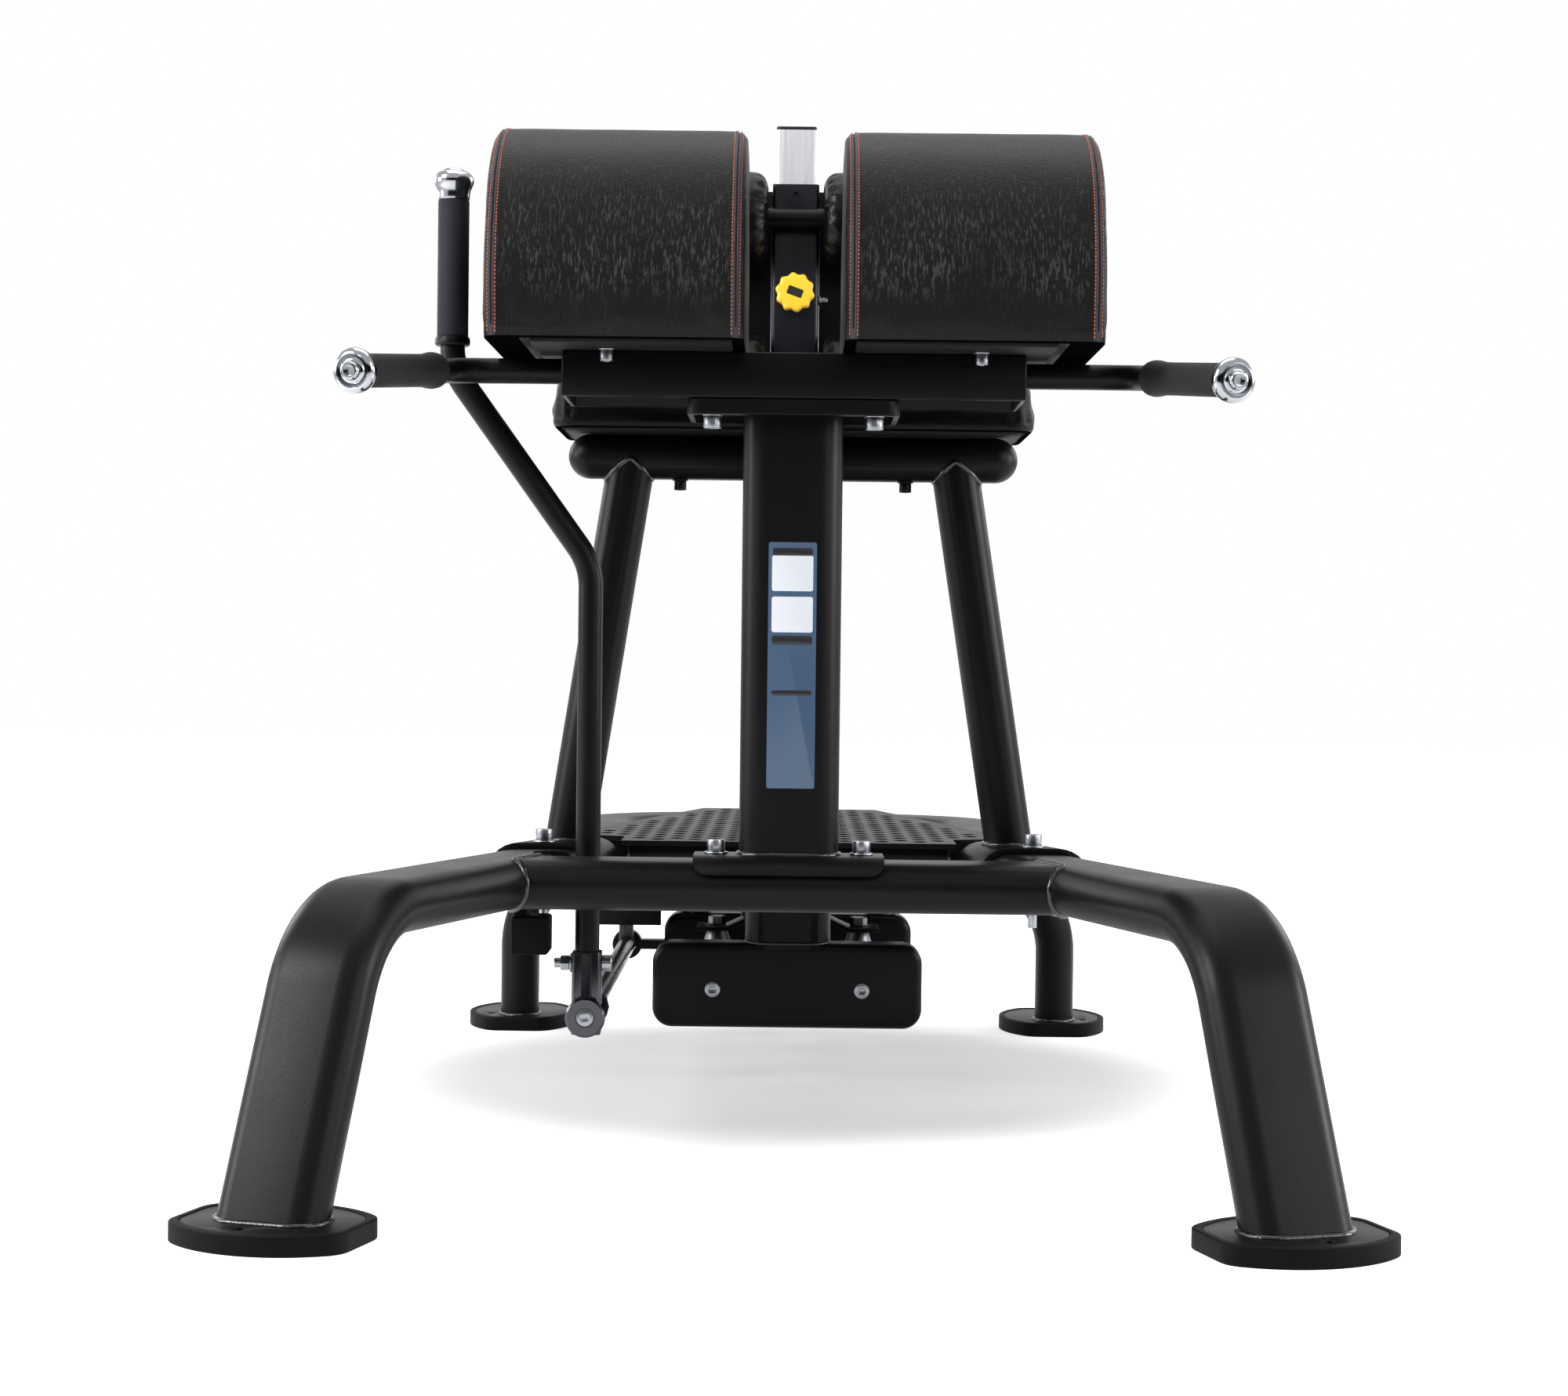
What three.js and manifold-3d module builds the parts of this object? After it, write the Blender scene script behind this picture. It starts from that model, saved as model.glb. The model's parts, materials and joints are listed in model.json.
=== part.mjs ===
// A glute ham developer, a strength training bench. Sizes are in millimetres.
// +X is to the right of a person who faces the hip pads from the handle end, +Y runs from the hip pads
// to the ankle rollers, and +Z is up. The origin is on the floor at the middle of the machine.
//
// The frame is bent flat oval tube: two side tubes, each a splayed front leg and a rail, joined by a
// rear bow and a front cross tube. A column carries the hip pads, an A frame the kneeling pad, and a
// post on a sliding carriage the ankle rollers and the footplate. A lever on the left frees the carriage.

import * as THREE from 'three';
import { mergeVertices } from 'three/addons/utils/BufferGeometryUtils.js';
import Module from 'manifold-3d';

const wasm = await Module();
wasm.setup();

// Driving dimensions
const frontTrack = 862; // between the front feet's centres
const rearTrack = 712; // between the rear legs
const frontFootY = -691;
const rearLegY = 645;
const railTrack = 472; // between the rails' centre lines
const railHeight = 267; // centre line of the level frame tubes
const hipY = -246; // column and hip pads
const leverY = -172; // release lever
const kneelY = -60; // A frame
const frontBlockY = 190; // front face of the front slide block
const postY = 440; // post with the ankle rollers
const bowY = 570; // rear crossing of the bow
const columnHigh = 443.7; // from its saddle flange to its top flange
const aFrameHigh = 410.7; // from its saddle flanges to the crossbar's centre line
const leverInward = 29; // from the left rail's centre line to the torsion shaft and the lever's foot
const shaftZ = 124;
const rodZ = 108; // guide rods
const pinZ = 947; // pull pin, which sets the height of the ankle rollers
const postTop = 1157;
const clearance = 0.3; // between two pieces that touch
const overrun = 5; // how far a cut runs past what it cuts
const weldDistance = 0.001; // corners closer than this are one corner
const legSplay = THREE.MathUtils.degToRad(17); // turn of a front leg out of the machine's length
const legLean = THREE.MathUtils.degToRad(24.7); // lean of a front leg out of the upright
const leverSwing = THREE.MathUtils.degToRad(13.5);

// Flat oval frame tube
const ovalWide = 100;
const ovalHigh = 50;
const kneeRadius = 95; // bend from leg to rail
const railBendRadius = 250; // bend from splayed to straight
const bowRadius = 130;
const bowLead = 20; // straight stretch of the bow before its corners

// Feet
const footLong = 165; // between the flat ends
const footFlat = 70; // length of a flat end
const footDeep = 140;
const footCorner = 12;
const footHeight = 18;
const footFloor = 9; // rubber under the steel plate
const footRim = 7; // rubber round the steel plate
const footPlateThick = 8;
const footHole = 11; // fixing hole in the steel plate
const footHoleOffset = 50; // from the foot's centre to the hole
const rearFootBehind = 35.5; // from a rear leg to its foot's centre

// Notch in the left tube for the lever
const notchHalf = 18;
const notchOut = 56; // from the lever's foot to the notch's outer end

// Saddle flanges
const saddleThick = 6;
const saddleDrop = 18; // how far its edges hang below its top
const columnSaddleLong = 190;
const saddleCorner = 15;
const aSaddleFront = 64; // from the A frame's plane to the flange's front edge
const aSaddleRear = 40;

// Column and its screws
const columnWide = 100;
const columnDeep = 50;
const topFlangeWide = 210;
const topFlangeDeep = 116;
const topFlangeThick = 8;
const topFlangeCorner = 14;
const columnScrewX = 73;
const screwShank = 12;
const screwHole = 13;
const screwHead = 18;
const screwHeadHigh = 12;
const screwSocket = 10;
const screwSocketDeep = 6;

// Pad bracket
const bracketWide = 456;
const bracketDeep = 120;
const bracketHigh = 44.7;
const bracketWall = 5;

// Hip pads
const padBoardThick = 10.5;
const padBoardInner = 60; // from the middle plane to the board's inner edge
const padBoardOuter = 254;
const padBoardDeep = 250;
const hipPadInner = 48;
const hipPadOuter = 296;
const hipPadDeep = 300;
const hipPadHigh = 215.9;
const hipPadWidest = 55; // height of the widest line above the pad's flat bottom
const hipPadFlat = 244; // depth of the flat bottom
const hipPadEdge = 14; // rounding of the side edges
const hipPadCrown = 4; // swelling of the side faces
const hipPadFace = 30; // from the full outline to the flat of a side face
const hipPadDraw = 6; // how far the seams at the sides draw the roll in
const hipPadSwell = 68; // from a side face to where the roll is full

// Handles
const handleTube = 25.4;
const handleBelow = 15; // from the bracket's top to the tube's centre line
const handleReach = 108; // from the bracket's end to the bend
const handleBendRadius = 48;
const handleSpread = 67; // how much wider the tube's end lies than its bend
const handleAhead = 209; // from the bend to the tube's end
const handleDrop = 23; // how much lower the end lies
const gripTube = 32;
const gripLong = 188;
const gripFlare = 36;
const gripFlareLong = 8;
const capDiameter = 43;
const capRimDiameter = 38;
const capFaceDiameter = 26;
const capLong = 17;
const capButton = 18; // diameter of the screw in the cap's face
const capButtonHigh = 4;

// A frame
const aLegTube = 50.8;
const crossbarTube = 48.3;
const crossbarLong = 480.6;
const aLegTopX = 172; // leg's centre line at the crossbar

// Kneeling pad
const kneelPadBehind = 38; // from the A frame's plane to the pad's middle
const kneelPadWide = 512;
const kneelPadDeep = 200;
const kneelPadHigh = 53.25;
const kneelPadCorner = 24;
const kneelBoardThick = 10;
const kneelBoardInset = 14;
const kneelPadEdge = 14;
const kneelPadCrown = 6;
const kneelCrownFoot = 42; // from the pad's side to the crown's steeper part
const kneelCrownTop = 80; // from the pad's side to the crown's flat top

// Step plate
const plateThick = 5.5;
const plateNoseWide = 360; // width of its nose, between the A frame's legs
const plateNoseAhead = 3; // from the A frame's plane to the nose's front edge
const plateNoseBehind = 68; // from the A frame's plane to the shoulders
const plateShoulderLong = 20;
const plateShoulderWide = 470; // width behind the shoulders
const plateWideLong = 107; // wide stretch behind the shoulders
const plateWaistWide = 450; // width at its rear end
const plateRearWide = 224;
const plateRearBehind = 15; // from the bow's centre line to the plate's rear edge
const holeWide = 14;
const holeLong = 23;
const holePitchX = 20.3;
const holePitchY = 38.4;
const holeEdgeGap = 10;
const slotSide = 5; // clear space beside the post in its slot
const slotFrame = 9; // solid plate round the slot

// Rear legs
const rearLegTube = 50.8;
const rearLegRadius = 108;
const rearLegEndInward = 66; // from the rail's centre line to the leg's end
const rearLegEndBehind = 5; // from the bow's centre line to the leg's end

// Slide unit
const blockDeep = 50;
const blockBelow = 45; // from the rods to the blocks' bottoms
const frontBlockInward = 49.5; // from the torsion shaft to the front block's side
const frontBlockAbove = 54; // from the rods to the block's top
const rearBlockInward = 48;
const rearBlockAbove = 58;
const rearBlockAhead = 51; // from its front face to the bow's centre line
const blockCorner = 23;
const blockEdge = 5; // rounding round the front and back faces
const hangerTube = 38;
const hangerInward = 39; // from the rear block's side to its hangers
const hangerBehind = 28; // from the rear block's front face to its hangers
const rodDiameter = 25;
const rodX = 87;
const rodScrewHead = 18;
const rodScrewDeep = 6; // how far the head is sunk in
const rodScrewProud = 3;

// Bearings and carriage
const bearingAhead = 62; // from the bearings' middle to the post
const bearingLong = 64;
const bearingWide = 50;
const bearingBelow = 28; // from the rods to the bearings' bottoms
const bearingAbove = 30;
const bearingRound = 14;
const bossHigh = 22;
const bossFoot = 40; // diameter at the bearing's top
const bossHead = 24; // diameter at the boss's top
const studDiameter = 10;
const nutWide = 22;
const nutHigh = 11;
const armThick = 5;
const armFlatIn = 12; // from the stud inwards to where the arm turns up
const armFlatOut = 25; // from the stud to the arm's end
const armRise = 11.7; // from the arm's ends up to the beam's bottom
const beamWide = 100;
const beamHigh = 40;
const beamAhead = 90; // from its front end to the post
const beamBehind = 40;
const beamRound = 10;

// Index bar and lock pin
const indexThick = 8;
const indexHigh = 28;
const indexRise = 13; // from the beam's bottom to the bar's centre line
const indexFrontGap = 2; // between the arms and the bar
const indexPitch = 30;
const indexHoles = 5;
const indexAhead = 1; // holes between the pin and the bar's front end
const indexMargin = 35; // from the last hole to the bar's rear end
const lockPinDiameter = 12;
const lockAhead = 12; // from the lock pin to the rear block's front face
const lockTipGap = 0.6; // the pin's tip stops this far from the bar
const holePlay = 0.3; // radial play of a pin in its bore

// Lock pin bracket
const lockPlateOut = 34; // from the torsion shaft to the cover's outer edge
const lockPlateIn = 45; // from the torsion shaft to the cover's inner edge
const lockCoverAhead = 15; // from the cover's front to the lock pin
const lockCoverBelow = 33; // from the lock pin to the cover's lower edge
const lockWall = 4;
const lockGuideIn = 36; // from the torsion shaft to the guide's middle
const lockGuideThick = 10;
const lockGuideBelow = 18;
const lockFootBehind = 38; // from the lock pin to the foot's rear edge

// Torsion shaft and lever
const shaftDiameter = 22;
const shaftEnd = 4; // how far it stands out of its rear ring
const leverTube = 25.4;
const leverOut = 145; // from the lever's foot to its grip, sideways
const leverElbowLow = 589;
const leverElbowHigh = 790;
const leverBendRadius = 70;
const leverGripAbove = 32; // from the upper elbow to the grip
const leverGripLong = 140;
const leverTubeEnd = 10; // how far the tube stands out of the grip
const leverCollar = 36;
const leverCollarHigh = 9;
const leverCapDiameter = 41;
const leverCapHigh = 32.7;
const fittingWide = 30;
const fittingDeep = 27;
const fittingBelow = 19; // from the shaft to the fitting's bottom
const fittingAbove = 66.7; // from the shaft to the fitting's top
const fittingGroove = 9;
const fittingGrooveDeep = 7;
const discDiameter = 41;
const discThick = 10;
const discRound = 2;
const clevisBolt = 10;
const clevisBoltBelow = 12.7; // from the fitting's top to the bolt
const clevisNutWide = 17;
const clevisNutLong = 12;
const clevisHeadLong = 10.7;
const clevisThread = 6.7; // how far the bolt stands out of its nut
const ringDiameter = 38;
const ringPlay = 0.3;
const ringLong = 20;
const ringArmHigh = 12;
const frontHangerBehind = 60; // from the lever to the front hanger
const frontHangerThick = 12;
const frontHangerOut = 12; // from the shaft to the hanger's outer edge
const frontHangerIn = 3.5;
const crankWide = 18;
const crankThick = 8;
const crankSlot = 9;
const crankSlotLong = 20;
const crankEnd = 4.5; // from the slot's end to the crank's end
const forkWide = 32;
const forkHigh = 16;
const forkCheek = 3;
const forkRoom = 3; // for the crank to lean in
const crossPin = 8;

// Rubber stop
const stopBelow = 15; // from the tube's underside to the block
const stopHigh = 39;
const stopOut = 77; // from the lever's foot to the block's outer side
const stopDeep = 46;
const stopStemWide = 13;
const stopGap = 0.5; // left between lever and stop at full swing
const stopEdge = 3;

// Post, sleeve and what they carry
const postWide = 50;
const postWall = 3;
const postCapHigh = 4;
const postCapPlug = 12;
const pinHoleDiameter = 12.6;
const pinPitch = 25;
const pinHolesBelow = 4;
const pinHolesAbove = 2;
const sleeveWall = 3.5;
const sleeveGap = 0.5;
const sleeveBelow = 172; // from the pull pin to the sleeve's bottom
const sleeveAbove = 137.7;
const sleeveRound = 3;
const barrelDiameter = 18;
const barrelLong = 15;
const pullPinDiameter = 10;
const pullPinTipGap = 0.5;
const knobDiameter = 50;
const knobThick = 16;
const knobLobes = 10;
const knobWave = 2.2;
const upperAxleAbove = 92; // from the pull pin to the upper axle
const lowerAxleBelow = 106;
const axleDiameter = 25.4;
const axleLong = 446;
const axleEndDiameter = 38;
const axleEndLong = 4;
const rollerDiameter = 117;
const rollerInner = 34;
const rollerLong = 182;
const rollerRound = 20;
const rollerSwell = 2;
const footplateWide = 410;
const footplateBelow = 157; // from the pull pin to the footplate's bottom
const footplateThick = 5;
const footplateReturn = 20;
const footplateCorner = 35;

// Facets: how many flat faces stand for a round shape
const ovalSteps = 6;
const bendFacet = THREE.MathUtils.degToRad(16); // a bend's largest turn from one facet to the next
const tubeSteps = 12;
const smallSteps = 10;
const rollerSteps = 18;
const rollSteps = 17; // round the top of a hip pad
const domeSteps = 3;
const lobeSteps = 4;
const curveSteps = 2;
const edgeSteps = 2;
const cushionSteps = 3;

// Finishes
const blackPaint = new THREE.MeshStandardMaterial({ color: '#1c1c1e', roughness: 0.5, metalness: 0.3 });
const rubber = new THREE.MeshStandardMaterial({ color: '#17171a', roughness: 0.85, metalness: 0 });
const leather = new THREE.MeshStandardMaterial({ color: '#1a1a1c', roughness: 0.55, metalness: 0 });
const wood = new THREE.MeshStandardMaterial({ color: '#1d1b19', roughness: 0.8, metalness: 0 });
const gripRubber = new THREE.MeshStandardMaterial({ color: '#242529', roughness: 0.9, metalness: 0 });
const chrome = new THREE.MeshStandardMaterial({ color: '#c9cbd0', roughness: 0.15, metalness: 1 });
const zinc = new THREE.MeshStandardMaterial({ color: '#a9acb0', roughness: 0.35, metalness: 1 });
const brushed = new THREE.MeshStandardMaterial({ color: '#c8c6cc', roughness: 0.35, metalness: 1 });
const plastic = new THREE.MeshStandardMaterial({ color: '#121214', roughness: 0.5, metalness: 0 });
const yellow = new THREE.MeshStandardMaterial({ color: '#f5c531', roughness: 0.4, metalness: 0 });

// Turns a closed geometry into a solid that can be joined and cut.
function solidOf(geometry) {
  const plain = geometry.clone();
  plain.deleteAttribute('normal');
  plain.deleteAttribute('uv');
  const merged = mergeVertices(plain, weldDistance);
  const corners = merged.index.array;
  const faces = [];
  for (let i = 0; i < corners.length; i += 3) {
    const [a, b, c] = [corners[i], corners[i + 1], corners[i + 2]];
    if (a !== b && b !== c && c !== a) faces.push(a, b, c);
  }
  const vertProperties = new Float32Array(merged.attributes.position.array);
  return new wasm.Manifold(new wasm.Mesh({ numProp: 3, vertProperties, triVerts: new Uint32Array(faces) }));
}

// Turns a solid back into a geometry with flat faces.
function geometryOf(solid) {
  const mesh = solid.getMesh();
  const geometry = new THREE.BufferGeometry();
  geometry.setAttribute('position', new THREE.BufferAttribute(new Float32Array(mesh.vertProperties), 3));
  geometry.setIndex(new THREE.BufferAttribute(new Uint32Array(mesh.triVerts), 1));
  const flat = geometry.toNonIndexed();
  flat.computeVertexNormals();
  return flat;
}

// Skins a row of rings of points and closes both ends. The faces are turned outwards.
function loft(rings) {
  const count = rings[0].length;
  const points = rings.flat();
  const faces = [];
  for (let ring = 0; ring + 1 < rings.length; ring++) {
    for (let i = 0; i < count; i++) {
      const j = (i + 1) % count;
      const [a, b] = [ring * count + i, ring * count + j];
      faces.push(a, b, b + count, a, b + count, a + count);
    }
  }
  const lastRing = (rings.length - 1) * count;
  for (let i = 1; i + 1 < count; i++) {
    faces.push(0, i + 1, i, lastRing, lastRing + i, lastRing + i + 1);
  }
  let volume = 0;
  for (let i = 0; i < faces.length; i += 3) {
    const [a, b, c] = [points[faces[i]], points[faces[i + 1]], points[faces[i + 2]]];
    volume += a.dot(new THREE.Vector3().crossVectors(b, c));
  }
  if (volume < 0) faces.reverse();
  const geometry = new THREE.BufferGeometry();
  geometry.setAttribute('position', new THREE.Float32BufferAttribute(points.flatMap((p) => p.toArray()), 3));
  geometry.setIndex(faces);
  const flat = geometry.toNonIndexed();
  flat.computeVertexNormals();
  return flat;
}

// A box between two corners.
function box(low, high) {
  const size = high.map((value, axis) => value - low[axis]);
  const geometry = new THREE.BoxGeometry(...size);
  return geometry.translate(...low.map((value, axis) => value + size[axis] / 2));
}

// A round bar from one point to another.
function bar(start, end, diameter, steps = tubeSteps) {
  const from = new THREE.Vector3(...start);
  const along = new THREE.Vector3(...end).sub(from);
  const geometry = new THREE.CylinderGeometry(diameter / 2, diameter / 2, along.length(), steps);
  geometry.translate(0, along.length() / 2, 0);
  const turn = new THREE.Quaternion().setFromUnitVectors(new THREE.Vector3(0, 1, 0), along.normalize());
  return geometry.applyQuaternion(turn).translate(...start);
}

// Diameter of a faceted bore whose flat faces keep the given play round a bar.
function boreFor(diameter, play = clearance, steps = tubeSteps) {
  return (diameter + 2 * play) / Math.cos(Math.PI / steps);
}

// A solid of revolution about +Y. Its outline is a list of radius and height pairs.
function turned(outline, steps) {
  return new THREE.LatheGeometry(outline.map(([radius, height]) => new THREE.Vector2(radius, height)), steps);
}

// Corners of a flat oval, wide along the first number.
function ovalSection(wide, high) {
  const radius = high / 2;
  const straight = wide / 2 - radius;
  const corners = [];
  for (const side of [1, -1]) {
    for (let step = 0; step <= ovalSteps; step++) {
      const angle = Math.PI * (step / ovalSteps - 1 / 2);
      corners.push([side * (straight + radius * Math.cos(angle)), side * radius * Math.sin(angle)]);
    }
  }
  return corners;
}

// Corners of a circle.
function roundSection(diameter, steps = tubeSteps) {
  return Array.from({ length: steps }, (_, step) => {
    const angle = (2 * Math.PI * step) / steps;
    return [(diameter / 2) * Math.cos(angle), (diameter / 2) * Math.sin(angle)];
  });
}

// Points and directions along a line with rounded corners. Radii belong to the inner corners.
function bentLine(corners, radii) {
  const points = corners.map((corner) => new THREE.Vector3(...corner));
  const stations = [];
  const direction = (from, to) => to.clone().sub(from).normalize();
  stations.push({ point: points[0], along: direction(points[0], points[1]) });
  for (let i = 1; i + 1 < points.length; i++) {
    const before = direction(points[i - 1], points[i]);
    const after = direction(points[i], points[i + 1]);
    const turn = before.angleTo(after);
    const inward = after.clone().addScaledVector(before, -Math.cos(turn)).normalize();
    const radius = radii[i - 1];
    const steps = Math.ceil(turn / bendFacet);
    const start = points[i].clone().addScaledVector(before, -radius * Math.tan(turn / 2));
    for (let step = 0; step <= steps; step++) {
      const angle = (turn * step) / steps;
      const point = start.clone().addScaledVector(before, radius * Math.sin(angle));
      point.addScaledVector(inward, radius * (1 - Math.cos(angle)));
      const along = before.clone().multiplyScalar(Math.cos(angle)).addScaledVector(inward, Math.sin(angle));
      stations.push({ point, along });
    }
  }
  const last = points.length - 1;
  stations.push({ point: points[last], along: direction(points[last - 1], points[last]) });
  return stations;
}

// Sweeps a section along stations. The section's wide axis is level, or along the given fixed axis.
function sweep(section, stations, fixedAxis = null) {
  return loft(stations.map(({ point, along, floor }) => {
    const wide = fixedAxis ? fixedAxis.clone() : new THREE.Vector3(-along.y, along.x, 0).normalize();
    const high = new THREE.Vector3().crossVectors(wide, along).normalize();
    return section.map(([a, b]) => {
      const corner = point.clone().addScaledVector(wide, a).addScaledVector(high, b);
      if (floor !== undefined) corner.addScaledVector(along, (floor - corner.z) / along.z);
      return corner;
    });
  }));
}

// A shape with straight sides and rounded corners, centred on the origin.
function roundedRectangle(wide, high, corner) {
  const [x, y] = [wide / 2, high / 2];
  const shape = new THREE.Shape();
  shape.moveTo(-x + corner, -y);
  shape.lineTo(x - corner, -y);
  shape.absarc(x - corner, -y + corner, corner, -Math.PI / 2, 0, false);
  shape.lineTo(x, y - corner);
  shape.absarc(x - corner, y - corner, corner, 0, Math.PI / 2, false);
  shape.lineTo(-x + corner, y);
  shape.absarc(-x + corner, y - corner, corner, Math.PI / 2, Math.PI, false);
  shape.lineTo(-x, -y + corner);
  shape.absarc(-x + corner, -y + corner, corner, Math.PI, 1.5 * Math.PI, false);
  return shape;
}

// A shape in the XY plane made into a plate that rises from z = 0.
function plate(shape, thick, curveSegments = curveSteps) {
  return new THREE.ExtrudeGeometry(shape, { depth: thick, bevelEnabled: false, curveSegments });
}

// A shape drawn in X and Z made into a block that runs along +Y from y = 0, with eased edges.
function upright(shape, deep, edge = 0, curveSegments = curveSteps, bevelSegments = edgeSteps) {
  const options = { depth: deep - 2 * edge, bevelEnabled: edge > 0, curveSegments };
  const bevel = { bevelThickness: edge, bevelSize: edge, bevelOffset: -edge, bevelSegments };
  const geometry = new THREE.ExtrudeGeometry(shape, edge > 0 ? { ...options, ...bevel } : options);
  return geometry.translate(0, 0, edge).rotateX(Math.PI / 2).scale(1, -1, 1);
}

// Mirrors and scales turn a shape inside out, so this sets its faces right again.
function rightWayOut(geometry) {
  const flat = geometry.index ? geometry.toNonIndexed() : geometry;
  const points = flat.attributes.position;
  const [a, b, c] = [new THREE.Vector3(), new THREE.Vector3(), new THREE.Vector3()];
  let volume = 0;
  for (let i = 0; i < points.count; i += 3) {
    a.fromBufferAttribute(points, i);
    b.fromBufferAttribute(points, i + 1);
    c.fromBufferAttribute(points, i + 2);
    volume += a.dot(b.cross(c));
  }
  if (volume > 0) return flat;
  for (let i = 0; i < points.count; i += 3) {
    b.fromBufferAttribute(points, i + 1);
    c.fromBufferAttribute(points, i + 2);
    points.setXYZ(i + 1, c.x, c.y, c.z);
    points.setXYZ(i + 2, b.x, b.y, b.z);
  }
  flat.computeVertexNormals();
  return flat;
}

const asSolid = (geometry) => solidOf(rightWayOut(geometry));

// Joins geometries into one.
function joined(...geometries) {
  return geometries.map(asSolid).reduce((whole, piece) => whole.add(piece));
}

// Cuts geometries out of a solid.
function cut(solid, ...geometries) {
  return geometries.map(asSolid).reduce((whole, piece) => whole.subtract(piece), solid);
}

const machine = new THREE.Group();
const carriage = new THREE.Group();
const head = new THREE.Group();
const lever = new THREE.Group();
machine.add(carriage, lever);
carriage.add(head);

// Adds a named piece to a group.
function add(parent, name, shape, material) {
  const geometry = shape instanceof wasm.Manifold ? geometryOf(shape) : rightWayOut(shape);
  const mesh = new THREE.Mesh(geometry, material);
  mesh.name = name;
  parent.add(mesh);
  return mesh;
}

const sides = [['left', -1], ['right', 1]];
const railX = railTrack / 2;
const leverX = leverInward - railX;
const railTop = railHeight + ovalHigh / 2;
const railBottom = railHeight - ovalHigh / 2;

// Feet: a barrel shaped plan, flat at both ends and bowed between them.
function footShape(inset) {
  const half = footLong / 2 - inset;
  const flat = footFlat / 2 - inset;
  const rise = (footDeep - footFlat) / 2;
  const radius = (half * half + rise * rise) / (2 * rise);
  const centre = footDeep / 2 - inset - radius;
  const reach = Math.asin(half / radius) - footCorner / radius;
  const [easeX, easeY] = [radius * Math.sin(reach), centre + radius * Math.cos(reach)];
  const shape = new THREE.Shape();
  shape.absarc(0, centre, radius, Math.PI / 2 - reach, Math.PI / 2 + reach, false);
  shape.quadraticCurveTo(-half, flat, -half, flat - footCorner);
  shape.lineTo(-half, footCorner - flat);
  shape.quadraticCurveTo(-half, -flat, -easeX, -easeY);
  shape.absarc(0, -centre, radius, 1.5 * Math.PI - reach, 1.5 * Math.PI + reach, false);
  shape.quadraticCurveTo(half, -flat, half, footCorner - flat);
  shape.lineTo(half, flat - footCorner);
  shape.quadraticCurveTo(half, flat, easeX, easeY);
  return shape;
}

function footCup(turn) {
  const cup = solidOf(rightWayOut(plate(footShape(0), footHeight)));
  const recess = plate(footShape(footRim), footHeight).translate(0, 0, footFloor);
  return cut(cup, recess).rotate([0, 0, THREE.MathUtils.radToDeg(turn)]);
}

// The steel plate in the rubber cup, with its fixing hole.
function footSteel(x, y, turn, holeSide) {
  const steel = solidOf(rightWayOut(plate(footShape(footRim + clearance), footPlateThick)));
  const holeX = holeSide * footHoleOffset;
  const hole = bar([holeX, 0, -overrun], [holeX, 0, footPlateThick + overrun], footHole, smallSteps);
  const bored = cut(steel, hole).rotate([0, 0, THREE.MathUtils.radToDeg(turn)]);
  return bored.translate([x, y, footFloor + clearance]);
}

const steelTop = footFloor + clearance + footPlateThick;

// Side tubes: splayed front leg, knee, and rail in one bent tube.
const bowStart = bowY - bowRadius - bowLead;

function sidePath(side) {
  const footX = frontTrack / 2;
  const leanRun = (railHeight - steelTop) * Math.tan(legLean);
  const splayRun = (footX - railX) / Math.sin(legSplay);
  const along = [-Math.sin(legSplay), Math.cos(legSplay)];
  const at = (run, z) => [side * (footX + run * along[0]), frontFootY + run * along[1], z];
  const corners = [at(0, steelTop), at(leanRun, railHeight), at(splayRun, railHeight)];
  corners.push([side * railX, bowStart, railHeight]);
  const stations = bentLine(corners, [kneeRadius, railBendRadius]);
  stations[0].floor = steelTop - footPlateThick / 2;
  return stations;
}

const frameSection = ovalSection(ovalWide, ovalHigh);

// The side tube's space with some room round it, to fit other pieces to it.
function sideSpace(side, room) {
  return sweep(ovalSection(ovalWide + 2 * room, ovalHigh + 2 * room), sidePath(side));
}

for (const [name, side] of sides) {
  const turn = side * legSplay;
  let tube = solidOf(sideSpace(side, 0));
  tube = tube.add(footSteel(side * frontTrack / 2, frontFootY, turn, side));
  if (side < 0) {
    const low = [leverX - notchOut, leverY - notchHalf, railBottom - overrun];
    const high = [leverX + leverTube, leverY + notchHalf, railTop + overrun];
    tube = cut(tube, box(low, high));
  }
  add(machine, `${name}_side_tube`, tube, blackPaint);
  const foot = add(machine, `foot_front_${name}`, footCup(turn), rubber);
  foot.position.set(side * frontTrack / 2, frontFootY, 0);
}

// Rear bow, closing the rails.
const bowCorners = [
  [-railX, bowStart + clearance, railHeight],
  [-railX, bowY, railHeight],
  [railX, bowY, railHeight],
  [railX, bowStart + clearance, railHeight],
];
const bowLine = bentLine(bowCorners, [bowRadius, bowRadius]);
add(machine, 'rear_bow', sweep(frameSection, bowLine), blackPaint);

// Cross tubes, coped to the side tubes.
function crossTube(y) {
  const ends = bentLine([[-railX - ovalWide / 2, y, railHeight], [railX + ovalWide / 2, y, railHeight]], []);
  return cut(asSolid(sweep(frameSection, ends)), sideSpace(-1, clearance), sideSpace(1, clearance));
}
const neckY = frontBlockY + blockDeep / 2;
// Cutting the ends leaves loose slivers beyond the side tubes, so only the middle body is kept.
const middleBody = (solid) => solid.decompose().sort((a, b) => b.volume() - a.volume())[0];
add(machine, 'front_cross_tube', middleBody(crossTube(hipY)), blackPaint);
add(machine, 'middle_cross_tube', middleBody(crossTube(neckY)), blackPaint);

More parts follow.
